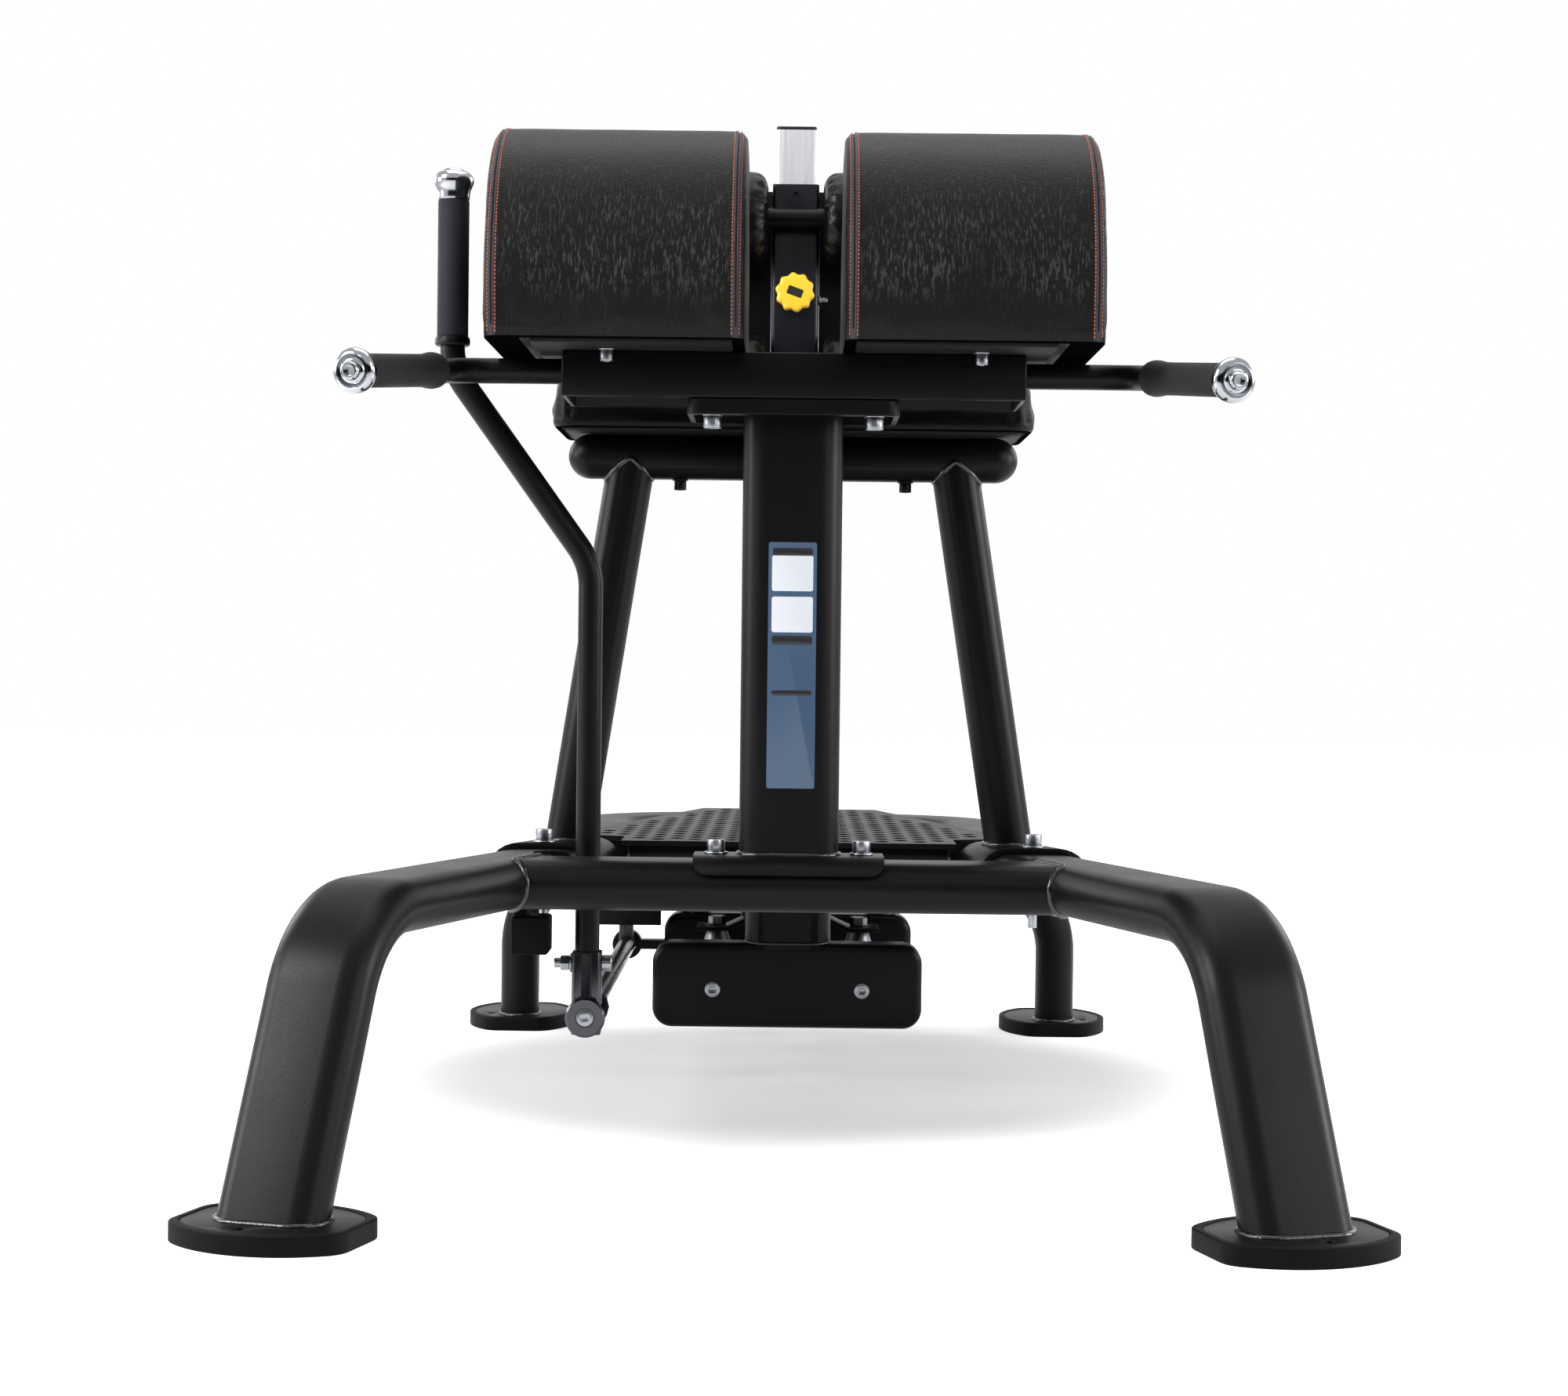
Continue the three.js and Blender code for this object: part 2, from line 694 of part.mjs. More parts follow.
// Column with its saddle flange and top flange.
const acrossHips = (half) => bentLine([[-half, hipY, railHeight], [half, hipY, railHeight]], []);
const saddleRoom = 2 * (clearance + saddleThick);
const saddleSection = ovalSection(ovalWide + saddleRoom, ovalHigh + saddleRoom);
const roomSection = ovalSection(ovalWide + 2 * clearance, ovalHigh + 2 * clearance);
const saddleTop = railTop + clearance + saddleThick;
const saddleReach = ovalWide / 2 + saddleThick + overrun;
const saddleOutline = roundedRectangle(columnSaddleLong, 2 * saddleDrop, saddleCorner);
const saddleKeep = upright(saddleOutline, 2 * saddleReach).translate(0, hipY - saddleReach, saddleTop);
const fullSaddle = asSolid(sweep(saddleSection, acrossHips(columnSaddleLong / 2)));
const saddleHollow = sweep(roomSection, acrossHips(columnSaddleLong));
const columnSaddle = cut(fullSaddle.intersect(asSolid(saddleKeep)), saddleHollow);
const columnTop = saddleTop + columnHigh;
const columnBody = sweep(
  ovalSection(columnWide, columnDeep),
  [{ point: new THREE.Vector3(0, hipY, saddleTop - saddleThick / 2), along: new THREE.Vector3(0, 0, 1) },
    { point: new THREE.Vector3(0, hipY, columnTop + topFlangeThick / 2), along: new THREE.Vector3(0, 0, 1) }],
  new THREE.Vector3(1, 0, 0),
);
const topFlange = plate(roundedRectangle(topFlangeWide, topFlangeDeep, topFlangeCorner), topFlangeThick);
topFlange.translate(0, hipY, columnTop);
const columnHoles = [-1, 1].map((side) => {
  const x = side * columnScrewX;
  return bar([x, hipY, railTop - overrun], [x, hipY, saddleTop + overrun], screwHole, smallSteps);
});
add(machine, 'column', cut(columnSaddle.add(joined(columnBody, topFlange)), ...columnHoles), blackPaint);

// Socket screws that hold the column to the cross tube, their heads on the saddle.
function socketScrew(shankLong) {
  return turned([
    [0, -shankLong],
    [screwShank / 2, -shankLong],
    [screwShank / 2, 0],
    [screwHead / 2, 0],
    [screwHead / 2, screwHeadHigh],
    [screwSocket / 2, screwHeadHigh],
    [screwSocket / 2, screwHeadHigh - screwSocketDeep],
    [0, screwHeadHigh - screwSocketDeep],
  ], smallSteps).rotateX(Math.PI / 2);
}
for (const [name, side] of sides) {
  const screw = add(machine, `column_screw_${name}`, socketScrew(saddleThick), zinc);
  screw.position.set(side * columnScrewX, hipY, saddleTop + clearance);
}

// Pad bracket: a channel open at the bottom, closed in the middle where the column is bolted on.
const bracketBottom = columnTop + topFlangeThick + clearance;
const bracketTop = bracketBottom + bracketHigh;
const [bracketX, bracketY] = [bracketWide / 2, bracketDeep / 2];
const bracketLow = [-bracketX, hipY - bracketY, bracketBottom];
const bracketShell = box(bracketLow, [bracketX, hipY + bracketY, bracketTop]);
const bracketHollows = [-1, 1].map((side) => {
  const [inner, outer] = [side * topFlangeWide / 2, side * (bracketX - bracketWall)];
  const low = [Math.min(inner, outer), hipY - bracketY + bracketWall, bracketBottom - overrun];
  const high = [Math.max(inner, outer), hipY + bracketY - bracketWall, bracketTop - bracketWall];
  return box(low, high);
});
add(machine, 'pad_bracket', cut(asSolid(bracketShell), ...bracketHollows), blackPaint);

// Hip pads: a roll, flat below, on a board. The outline is drawn in Y and Z and lofted along X.
const boardTop = bracketTop + clearance + padBoardThick;
const padBottom = boardTop + clearance;
const cornerShares = [1 / 3, 2 / 3, 1];
function hipOutline(shrink, x) {
  const high = hipPadHigh - hipPadWidest - shrink;
  const half = hipPadDeep / 2 - shrink;
  const flat = hipPadFlat / 2 - shrink;
  const low = hipPadWidest - shrink;
  const widestZ = padBottom + hipPadWidest;
  const ring = [];
  for (let step = 0; step <= rollSteps; step++) {
    const angle = (Math.PI * step) / rollSteps;
    ring.push(new THREE.Vector3(x, hipY + half * Math.cos(angle), widestZ + high * Math.sin(angle)));
  }
  for (const [side, shares] of [[-1, cornerShares], [1, [...cornerShares].reverse()]]) {
    for (const share of shares) {
      const angle = (Math.PI / 2) * share;
      const out = flat + (half - flat) * Math.cos(angle);
      ring.push(new THREE.Vector3(x, hipY + side * out, widestZ - low * Math.sin(angle)));
    }
  }
  return ring;
}
// From a side face to the middle: how far in each outline lies, and how much smaller it is.
const edgeShares = [0, 1 / 3, 2 / 3, 1];
const hipSteps = [[0, hipPadFace]];
for (const share of edgeShares) {
  const angle = (Math.PI / 2) * share;
  hipSteps.push([
    hipPadCrown + hipPadEdge * (1 - Math.cos(angle)),
    hipPadDraw + hipPadEdge * (1 - Math.sin(angle)),
  ]);
}
hipSteps.push([hipPadSwell, 0]);
for (const [name, side] of sides) {
  const near = hipSteps.map(([inset, shrink]) => hipOutline(shrink, side * (hipPadInner + inset)));
  const far = hipSteps.map(([inset, shrink]) => hipOutline(shrink, side * (hipPadOuter - inset)));
  add(machine, `hip_pad_${name}`, loft([...near, ...far.reverse()]), leather);
  const boardX = [side * padBoardInner, side * padBoardOuter].sort((a, b) => a - b);
  const boardLow = [boardX[0], hipY - padBoardDeep / 2, bracketTop + clearance];
  add(machine, `hip_board_${name}`, box(boardLow, [boardX[1], hipY + padBoardDeep / 2, boardTop]), wood);
}

// Handles: a bent tube from the end of the bracket, a grip and a chrome end cap.
const handleZ = bracketTop - handleBelow;
const handleBendX = bracketX + handleReach;
for (const [name, side] of sides) {
  const start = new THREE.Vector3(side * (bracketX + clearance), hipY, handleZ);
  const bend = new THREE.Vector3(side * handleBendX, hipY, handleZ);
  const endX = side * (handleBendX + handleSpread);
  const end = new THREE.Vector3(endX, hipY - handleAhead, handleZ - handleDrop);
  const outward = end.clone().sub(bend).normalize();
  const line = bentLine([start.toArray(), bend.toArray(), end.toArray()], [handleBendRadius]);
  const across = new THREE.Vector3().crossVectors(new THREE.Vector3(side, 0, 0), outward).normalize();
  add(machine, `handle_tube_${name}`, sweep(roundSection(handleTube), line, across), blackPaint);

  const aim = new THREE.Quaternion().setFromUnitVectors(new THREE.Vector3(0, 1, 0), outward);
  const bore = boreFor(handleTube) / 2;
  const gripOutline = [
    [bore, -gripLong],
    [gripFlare / 2, -gripLong],
    [gripFlare / 2, gripFlareLong - gripLong],
    [gripTube / 2, 2 * gripFlareLong - gripLong],
    [gripTube / 2, -clearance],
    [bore, -clearance],
    [bore, -gripLong],
  ];
  const grip = add(machine, `handle_grip_${name}`, turned(gripOutline, tubeSteps), gripRubber);
  const capOutline = [
    [0, clearance],
    [capRimDiameter / 2, clearance],
    [capDiameter / 2, capLong / 3],
    [capDiameter / 2, capLong / 2],
    [capFaceDiameter / 2, capLong],
    [capButton / 2, capLong],
    [capButton / 2, capLong + capButtonHigh],
    [0, capLong + capButtonHigh],
  ];
  const cap = add(machine, `handle_cap_${name}`, turned(capOutline, tubeSteps), chrome);
  for (const piece of [grip, cap]) {
    piece.quaternion.copy(aim);
    piece.position.copy(end);
  }
}

// A frame: two leaning legs and a crossbar with domed ends, on saddle flanges over the rails.
const crossbarRadius = crossbarTube / 2;
const crossbarZ = saddleTop + aFrameHigh;
const crossbarOutline = [];
for (const end of [-1, 1]) {
  for (let step = 0; step <= domeSteps; step++) {
    const angle = (Math.PI / 2) * (end < 0 ? step / domeSteps : 1 - step / domeSteps);
    const height = end * (crossbarLong / 2 - crossbarRadius * (1 - Math.cos(angle)));
    crossbarOutline.push([crossbarRadius * Math.sin(angle), height]);
  }
}
const crossbar = turned(crossbarOutline, tubeSteps).rotateZ(-Math.PI / 2).translate(0, kneelY, crossbarZ);
const aLegs = [-1, 1].map((side) => bar(
  [side * railX, kneelY, saddleTop - saddleThick / 2],
  [side * aLegTopX, kneelY, crossbarZ],
  aLegTube,
));
let aFrame = joined(crossbar, ...aLegs);
for (const side of [-1, 1]) {
  const low = [-railTrack, kneelY - aSaddleFront, saddleTop - saddleDrop];
  const high = [railTrack, kneelY + aSaddleRear, saddleTop + overrun];
  const strip = asSolid(sideSpace(side, clearance + saddleThick)).intersect(asSolid(box(low, high)));
  aFrame = aFrame.add(strip);
}
aFrame = cut(aFrame, sideSpace(-1, clearance), sideSpace(1, clearance));
add(machine, 'a_frame', middleBody(aFrame), blackPaint);

// Kneeling pad on its board.
const kneelPadY = kneelY + kneelPadBehind;
const kneelBoardBottom = crossbarZ + crossbarRadius + clearance;
const kneelPadBottom = kneelBoardBottom + kneelBoardThick + clearance;
const kneelBoard = plate(
  roundedRectangle(kneelPadWide - 2 * kneelBoardInset, kneelPadDeep - 2 * kneelBoardInset, kneelPadCorner),
  kneelBoardThick,
);
add(machine, 'kneeling_board', kneelBoard, wood).position.set(0, kneelPadY, kneelBoardBottom);

function padRing(inset, z) {
  const corner = Math.max(kneelPadCorner - inset, kneelPadCorner / 4);
  const shape = roundedRectangle(kneelPadWide - 2 * inset, kneelPadDeep - 2 * inset, corner);
  return shape.getPoints(cushionSteps).slice(0, -1).map((point) => new THREE.Vector3(point.x, point.y, z));
}
const kneelEdgeTop = kneelPadHigh - kneelPadCrown;
const kneelRings = [padRing(kneelPadEdge / 2, 0), padRing(0, kneelPadEdge / 2)];
for (const share of edgeShares) {
  const angle = (Math.PI / 2) * share;
  const inset = kneelPadEdge * (1 - Math.cos(angle));
  kneelRings.push(padRing(inset, kneelEdgeTop - kneelPadEdge * (1 - Math.sin(angle))));
}
kneelRings.push(padRing(kneelCrownFoot, kneelPadHigh - kneelPadCrown / 3));
kneelRings.push(padRing(kneelCrownTop, kneelPadHigh));
add(machine, 'kneeling_pad', loft(kneelRings), leather).position.set(0, kneelPadY, kneelPadBottom);

// Step plate: a flat plate with rows of long six sided holes, every other column half a pitch on,
// and a slot in which the post travels.
const bearingY = postY - bearingAhead;
const carriageForward = bearingY - bearingLong / 2 - frontBlockY - blockDeep;
const carriageBack = bowY - ovalWide / 2 - postY - postWide / 2;
const plateBottom = railTop + clearance;
const shoulderY = kneelY + plateNoseBehind + plateShoulderLong;
const plateOutline = [
  [plateNoseWide / 2, kneelY - plateNoseAhead],
  [plateNoseWide / 2, kneelY + plateNoseBehind],
  [plateShoulderWide / 2, shoulderY],
  [plateWaistWide / 2, shoulderY + plateWideLong],
  [plateRearWide / 2, bowY + plateRearBehind],
];
const plateCorners = [
  ...plateOutline.map(([half, y]) => new THREE.Vector2(half, y)),
  ...[...plateOutline].reverse().map(([half, y]) => new THREE.Vector2(-half, y)),
];
const plateShape = new THREE.Shape(plateCorners);

const slotHalf = postWide / 2 + slotSide;
const slotFront = postY - carriageForward - postWide / 2 - slotSide;
const slotRear = postY + carriageBack + postWide / 2 - clearance;
const slotCorners = [[-1, slotFront], [-1, slotRear], [1, slotRear], [1, slotFront]];
plateShape.holes.push(new THREE.Path(slotCorners.map(([side, y]) => new THREE.Vector2(side * slotHalf, y))));

// Half width of the step plate at a place along the machine.
function plateHalf(y) {
  for (let i = 1; i < plateOutline.length; i++) {
    const [[half, start], [nextHalf, end]] = [plateOutline[i - 1], plateOutline[i]];
    if (y <= end) return half + ((nextHalf - half) * (y - start)) / (end - start);
  }
  return 0;
}
const [plateFront, plateRear] = [plateOutline[0][1], plateOutline[plateOutline.length - 1][1]];
const columnsEachSide = Math.floor(plateShoulderWide / 2 / holePitchX);
const rowCount = Math.ceil((plateRear - plateFront) / holePitchY);
const holeHalfX = holeWide / 2;
const holeHalfY = holeLong / 2;
const shoulder = holeHalfY - holeHalfX / 2;
const holeOutline = [[0, -holeHalfY], [-holeHalfX, -shoulder], [-holeHalfX, shoulder]];
holeOutline.push([0, holeHalfY], [holeHalfX, shoulder], [holeHalfX, -shoulder]);
for (let column = -columnsEachSide; column <= columnsEachSide; column++) {
  for (let row = 0; row <= rowCount; row++) {
    const x = column * holePitchX;
    const stagger = column % 2 === 0 ? 1 / 4 : 3 / 4;
    const y = plateFront + (row + stagger) * holePitchY;
    const [front, back] = [y - holeHalfY - holeEdgeGap, y + holeHalfY + holeEdgeGap];
    const reach = Math.abs(x) + holeHalfX + holeEdgeGap;
    const onPlate = front > plateFront && back < plateRear;
    const inside = onPlate && reach < plateHalf(front) && reach < plateHalf(back);
    const besideSlot = Math.abs(x) > slotHalf + slotFrame + holeHalfX;
    const clearOfSlot = besideSlot || back < slotFront - slotFrame || front > slotRear + slotFrame;
    if (inside && clearOfSlot) {
      plateShape.holes.push(new THREE.Path(holeOutline.map(([dx, dy]) => new THREE.Vector2(x + dx, y + dy))));
    }
  }
}
add(machine, 'step_plate', plate(plateShape, plateThick), blackPaint).position.set(0, 0, plateBottom);

// Rear legs: upright from the foot, bent inward to run under the bow's corner.
const levelZ = railBottom - clearance - rearLegTube / 2;
const rearFootY = rearLegY + rearFootBehind;
const rearLegEndX = railX - rearLegEndInward;
const rearLegEndY = bowY + rearLegEndBehind;
for (const [name, side] of sides) {
  const top = [side * rearTrack / 2, rearLegY, levelZ];
  const foot = [side * rearTrack / 2, rearLegY, steelTop - footPlateThick / 2];
  const line = bentLine([foot, top, [side * rearLegEndX, rearLegEndY, levelZ]], [rearLegRadius]);
  const across = new THREE.Vector3(rearLegY - rearLegEndY, side * (rearLegEndX - rearTrack / 2), 0);
  across.normalize();
  const leg = solidOf(sweep(roundSection(rearLegTube), line, across));
  const steel = footSteel(side * rearTrack / 2, rearFootY, Math.PI / 2, side);
  add(machine, `rear_leg_${name}`, leg.add(steel), blackPaint);
  const cup = add(machine, `foot_rear_${name}`, footCup(Math.PI / 2), rubber);
  cup.position.set(side * rearTrack / 2, rearFootY, 0);
}

// Slide unit: two rounded blocks that hold the guide rods.
const rearBlockY = bowY - rearBlockAhead;
const frontBlockWide = 2 * (-leverX - frontBlockInward);
const rearBlockWide = 2 * (-leverX - rearBlockInward);
const hangerX = rearBlockWide / 2 - hangerInward;
const frontBlockTop = rodZ + frontBlockAbove;
const rearBlockTop = rodZ + rearBlockAbove;
function slideBlock(wide, above, frontY) {
  const high = blockBelow + above;
  const block = upright(roundedRectangle(wide, high, blockCorner), blockDeep, blockEdge);
  return block.translate(0, frontY, rodZ + above - high / 2);
}
const neckOval = ovalSection(ovalWide, ovalHigh);
const neckAlong = new THREE.Vector3(0, 0, 1);
const neck = sweep(neckOval, [
  { point: new THREE.Vector3(0, neckY, frontBlockTop - blockEdge), along: neckAlong },
  { point: new THREE.Vector3(0, neckY, railBottom + ovalHigh / 2), along: neckAlong },
], new THREE.Vector3(1, 0, 0));
const middleSpace = bentLine([[-railTrack, neckY, railHeight], [railTrack, neckY, railHeight]], []);
const rodScrewHoles = [-1, 1].map((side) => bar(
  [side * rodX, frontBlockY - overrun, rodZ],
  [side * rodX, frontBlockY + rodScrewDeep, rodZ],
  boreFor(rodScrewHead, clearance, smallSteps),
  smallSteps,
));
const frontBlock = joined(slideBlock(frontBlockWide, frontBlockAbove, frontBlockY), neck);
const frontCuts = [sweep(roomSection, middleSpace), ...rodScrewHoles];
add(machine, 'front_slide_block', cut(frontBlock, ...frontCuts), blackPaint);

const rodStart = frontBlockY + blockDeep + clearance;
const rodEnd = rearBlockY - clearance;
const rodScrewOutline = [
  [0, clearance],
  [rodScrewHead / 2, clearance],
  [rodScrewHead / 2, rodScrewDeep + rodScrewProud],
  [screwSocket / 2, rodScrewDeep + rodScrewProud],
  [screwSocket / 2, rodScrewDeep + rodScrewProud - screwSocketDeep],
  [0, rodScrewDeep + rodScrewProud - screwSocketDeep],
];
for (const [name, side] of sides) {
  const rod = bar([0, 0, 0], [0, rodEnd - rodStart, 0], rodDiameter);
  add(machine, `guide_rod_${name}`, rod, chrome).position.set(side * rodX, rodStart, rodZ);
  const screw = add(machine, `rod_screw_${name}`, turned(rodScrewOutline, smallSteps).rotateZ(Math.PI), zinc);
  screw.position.set(side * rodX, frontBlockY + rodScrewDeep, rodZ);
}

// Rear block, hung under the bow, with an arm and ring that carry the torsion shaft.
const hangerY = rearBlockY + hangerBehind;
const hangers = [-1, 1].map((side) => bar(
  [side * hangerX, hangerY, rearBlockTop - blockEdge],
  [side * hangerX, hangerY, railBottom - clearance],
  hangerTube,
));
const ringStart = rearBlockY + blockEdge;
const ring = bar([leverX, ringStart, shaftZ], [leverX, ringStart + ringLong, shaftZ], ringDiameter);
const ringArm = box(
  [leverX, ringStart, shaftZ - ringArmHigh / 2],
  [-rearBlockWide / 2 + blockEdge, ringStart + ringLong, shaftZ + ringArmHigh / 2],
);
const ringBore = bar(
  [leverX, ringStart - overrun, shaftZ],
  [leverX, ringStart + ringLong + overrun, shaftZ],
  boreFor(shaftDiameter, ringPlay),
);
const rearBlock = joined(slideBlock(rearBlockWide, rearBlockAbove, rearBlockY), ...hangers, ring, ringArm);
add(machine, 'rear_slide_block', cut(rearBlock, ringBore), blackPaint);

// Front hanger of the torsion shaft, coped to the underside of the left tube.
const frontHangerY = leverY + frontHangerBehind;
const frontHanger = joined(
  bar([leverX, frontHangerY, shaftZ], [leverX, frontHangerY + frontHangerThick, shaftZ], ringDiameter),
  box(
    [leverX - frontHangerOut, frontHangerY, shaftZ],
    [leverX + frontHangerIn, frontHangerY + frontHangerThick, railHeight],
  ),
);
const frontBore = bar(
  [leverX, frontHangerY - overrun, shaftZ],
  [leverX, frontHangerY + frontHangerThick + overrun, shaftZ],
  boreFor(shaftDiameter, ringPlay),
);
add(machine, 'shaft_hanger', middleBody(cut(frontHanger, frontBore, sideSpace(-1, clearance))), blackPaint);

// Rubber stop under the left tube. At full swing the lever's tube comes to rest against it.
const stopTop = railBottom - stopBelow;
const stopLeft = leverX - stopOut;
const leverReach = leverTube / 2 / Math.cos(leverSwing) + (stopTop - shaftZ) * Math.tan(leverSwing);
const stopRight = leverX - leverReach - stopGap;
const stopShape = roundedRectangle(stopRight - stopLeft, stopHigh, stopEdge);
const stopBody = upright(stopShape, stopDeep, stopEdge / 2, 1);
stopBody.translate((stopLeft + stopRight) / 2, leverY - stopDeep / 2, stopTop - stopHigh / 2);
const stopStem = box(
  [stopLeft + stopEdge, leverY - stopDeep / 2 + stopEdge, stopTop - stopEdge],
  [stopLeft + stopEdge + stopStemWide, leverY + stopDeep / 2 - stopEdge, railBottom - clearance],
);
add(machine, 'lever_stop', joined(stopBody, stopStem), rubber);

// Bracket under the bow's left corner that guides the lock pin.
const armBottom = rodZ + bearingAbove + bossHigh + clearance;
const beamBottom = armBottom + armRise;
const lockZ = beamBottom + indexRise;
const lockY = rearBlockY - lockAhead;
const lockFootTop = railBottom - clearance;
const [lockPlateLeft, lockPlateRight] = [leverX - lockPlateOut, leverX + lockPlateIn];
const lockCoverY = lockY - lockCoverAhead;
const lockFootRear = lockY + lockFootBehind;
const lockGuideX = leverX + lockGuideIn;
const lockCover = box(
  [lockPlateLeft, lockCoverY, lockZ - lockCoverBelow],
  [lockPlateRight, lockCoverY + lockWall, lockFootTop],
);
const lockFoot = box(
  [lockPlateLeft, lockCoverY, lockFootTop - lockWall],
  [lockPlateRight, lockFootRear, lockFootTop],
);
const lockGuide = box(
  [lockGuideX - lockGuideThick / 2, lockCoverY, lockZ - lockGuideBelow],
  [lockGuideX + lockGuideThick / 2, lockFootRear, lockFootTop],
);
const lockBore = bar(
  [lockGuideX - lockGuideThick, lockY, lockZ],
  [lockGuideX + lockGuideThick, lockY, lockZ],
  boreFor(lockPinDiameter, holePlay),
);
add(machine, 'lock_bracket', cut(joined(lockCover, lockFoot, lockGuide), lockBore), blackPaint);

// Carriage: bearing housings on the guide rods, each with a stud and nut that hold the carriage's arm.
const bearingTop = bearingAbove;
const bossTop = bearingTop + bossHigh;
const nutMiddle = bossTop + 2 * clearance + armThick + nutHigh / 2;
for (const [name, side] of sides) {
  const housingShape = roundedRectangle(bearingWide, bearingBelow + bearingAbove, bearingRound);
  const housing = upright(housingShape, bearingLong);
  housing.translate(0, -bearingLong / 2, (bearingTop - bearingBelow) / 2);
  const boss = turned([
    [0, bearingTop - bearingRound],
    [bossFoot / 2, bearingTop - bearingRound],
    [bossFoot / 2, bearingTop],
    [bossHead / 2, bossTop],
    [studDiameter / 2, bossTop],
    [studDiameter / 2, nutMiddle],
    [0, nutMiddle],
  ], smallSteps).rotateX(Math.PI / 2);
  const nut = new THREE.CylinderGeometry(nutWide / 2, nutWide / 2, nutHigh, 6).rotateX(Math.PI / 2);
  nut.translate(0, 0, nutMiddle);
  const bore = bar([0, -bearingLong, 0], [0, bearingLong, 0], boreFor(rodDiameter));
  const bearing = cut(joined(housing, boss, nut), bore);
  add(carriage, `bearing_${name}`, bearing, zinc).position.set(side * rodX, bearingY, rodZ);
}

const [beamX, armTop] = [beamWide / 2, armBottom + armThick];
const [armInner, armOuter] = [rodX - armFlatIn, rodX + armFlatOut];
const armUnder = [[-armOuter, armBottom], [-armInner, armBottom], [-beamX, beamBottom]];
armUnder.push([beamX, beamBottom], [armInner, armBottom], [armOuter, armBottom]);
const armOver = armUnder.map(([x, z]) => [x, z + armThick]).reverse();
const armShape = new THREE.Shape([...armUnder, ...armOver].map(([x, z]) => new THREE.Vector2(x, z)));
const arms = upright(armShape, bearingLong).translate(0, bearingY - bearingLong / 2, 0);
const beam = upright(roundedRectangle(beamWide, beamHigh, beamRound), beamAhead + beamBehind);
beam.translate(0, postY - beamAhead, beamBottom + beamHigh / 2);
const studHoles = [-1, 1].map((side) => bar(
  [side * rodX, bearingY, armBottom - overrun],
  [side * rodX, bearingY, armTop + overrun],
  boreFor(studDiameter, clearance, smallSteps),
  smallSteps,
));
add(carriage, 'carriage_frame', cut(joined(arms, beam), ...studHoles), blackPaint);

// Index bar beside the beam, with the holes that the lock pin finds.
const indexRight = -beamX - clearance;
const indexLeft = indexRight - indexThick;
const indexFront = bearingY + bearingLong / 2 + indexFrontGap;
const indexRear = lockY + (indexHoles - 1 - indexAhead) * indexPitch + indexMargin;
const indexBar = box(
  [indexLeft, indexFront, lockZ - indexHigh / 2],
  [indexRight, indexRear, lockZ + indexHigh / 2],
);
const indexBores = Array.from({ length: indexHoles }, (_, i) => {
  const y = lockY + (i - indexAhead) * indexPitch;
  const [start, end] = [[indexLeft - overrun, y, lockZ], [indexRight + overrun, y, lockZ]];
  return bar(start, end, boreFor(lockPinDiameter, holePlay, smallSteps), smallSteps);
});
add(carriage, 'index_bar', cut(asSolid(indexBar), ...indexBores), zinc);

// Post: a square tube with a row of holes in its front, and a plastic cap in its top.
function squareTube(outer, inner, bottom, top, round) {
  const tube = solidOf(rightWayOut(plate(roundedRectangle(outer, outer, round), top - bottom, 1)));
  const hollow = plate(roundedRectangle(inner, inner, round / 2), top - bottom + 2 * overrun, 1);
  return cut(tube, hollow.translate(0, 0, -overrun)).translate([0, postY, bottom]);
}
const postBottom = beamBottom + beamHigh + clearance;
const postTubeTop = postTop - postCapHigh - clearance;
const postHoles = [];
for (let i = -pinHolesBelow; i <= pinHolesAbove; i++) {
  const z = pinZ + i * pinPitch;
  postHoles.push(bar([0, postY - postWide, z], [0, postY, z], pinHoleDiameter, smallSteps));
}
const postInner = postWide - 2 * postWall;
const postTube = squareTube(postWide, postInner, postBottom, postTubeTop, postWall);
add(carriage, 'post', cut(postTube, ...postHoles), brushed);
const capTop = plate(roundedRectangle(postWide, postWide, postWall), postCapHigh, 1);
const plugWide = postInner - 2 * clearance;
const plug = plate(roundedRectangle(plugWide, plugWide, postWall / 2), postCapPlug + postCapHigh / 2, 1);
const postCap = joined(capTop, plug.translate(0, 0, -postCapPlug));
add(carriage, 'post_cap', postCap, plastic).position.set(0, postY, postTubeTop + clearance);

// Sleeve that slides on the post, with the barrel of its pull pin.
const sleeveInner = postWide + 2 * sleeveGap;
const sleeveOuter = sleeveInner + 2 * sleeveWall;
const sleeveFrontY = postY - sleeveOuter / 2;
const [sleeveBottom, sleeveTop] = [pinZ - sleeveBelow, pinZ + sleeveAbove];
const sleeveTube = squareTube(sleeveOuter, sleeveInner, sleeveBottom, sleeveTop, sleeveRound);
const barrelFront = [0, sleeveFrontY - barrelLong, pinZ];
const barrel = bar(barrelFront, [0, sleeveFrontY + sleeveWall / 2, pinZ], barrelDiameter);
const pinBore = bar(
  [0, sleeveFrontY - barrelLong - overrun, pinZ],
  [0, postY, pinZ],
  boreFor(pullPinDiameter, holePlay, smallSteps),
  smallSteps,
);
add(head, 'sleeve', cut(sleeveTube.add(asSolid(barrel)), pinBore), blackPaint);

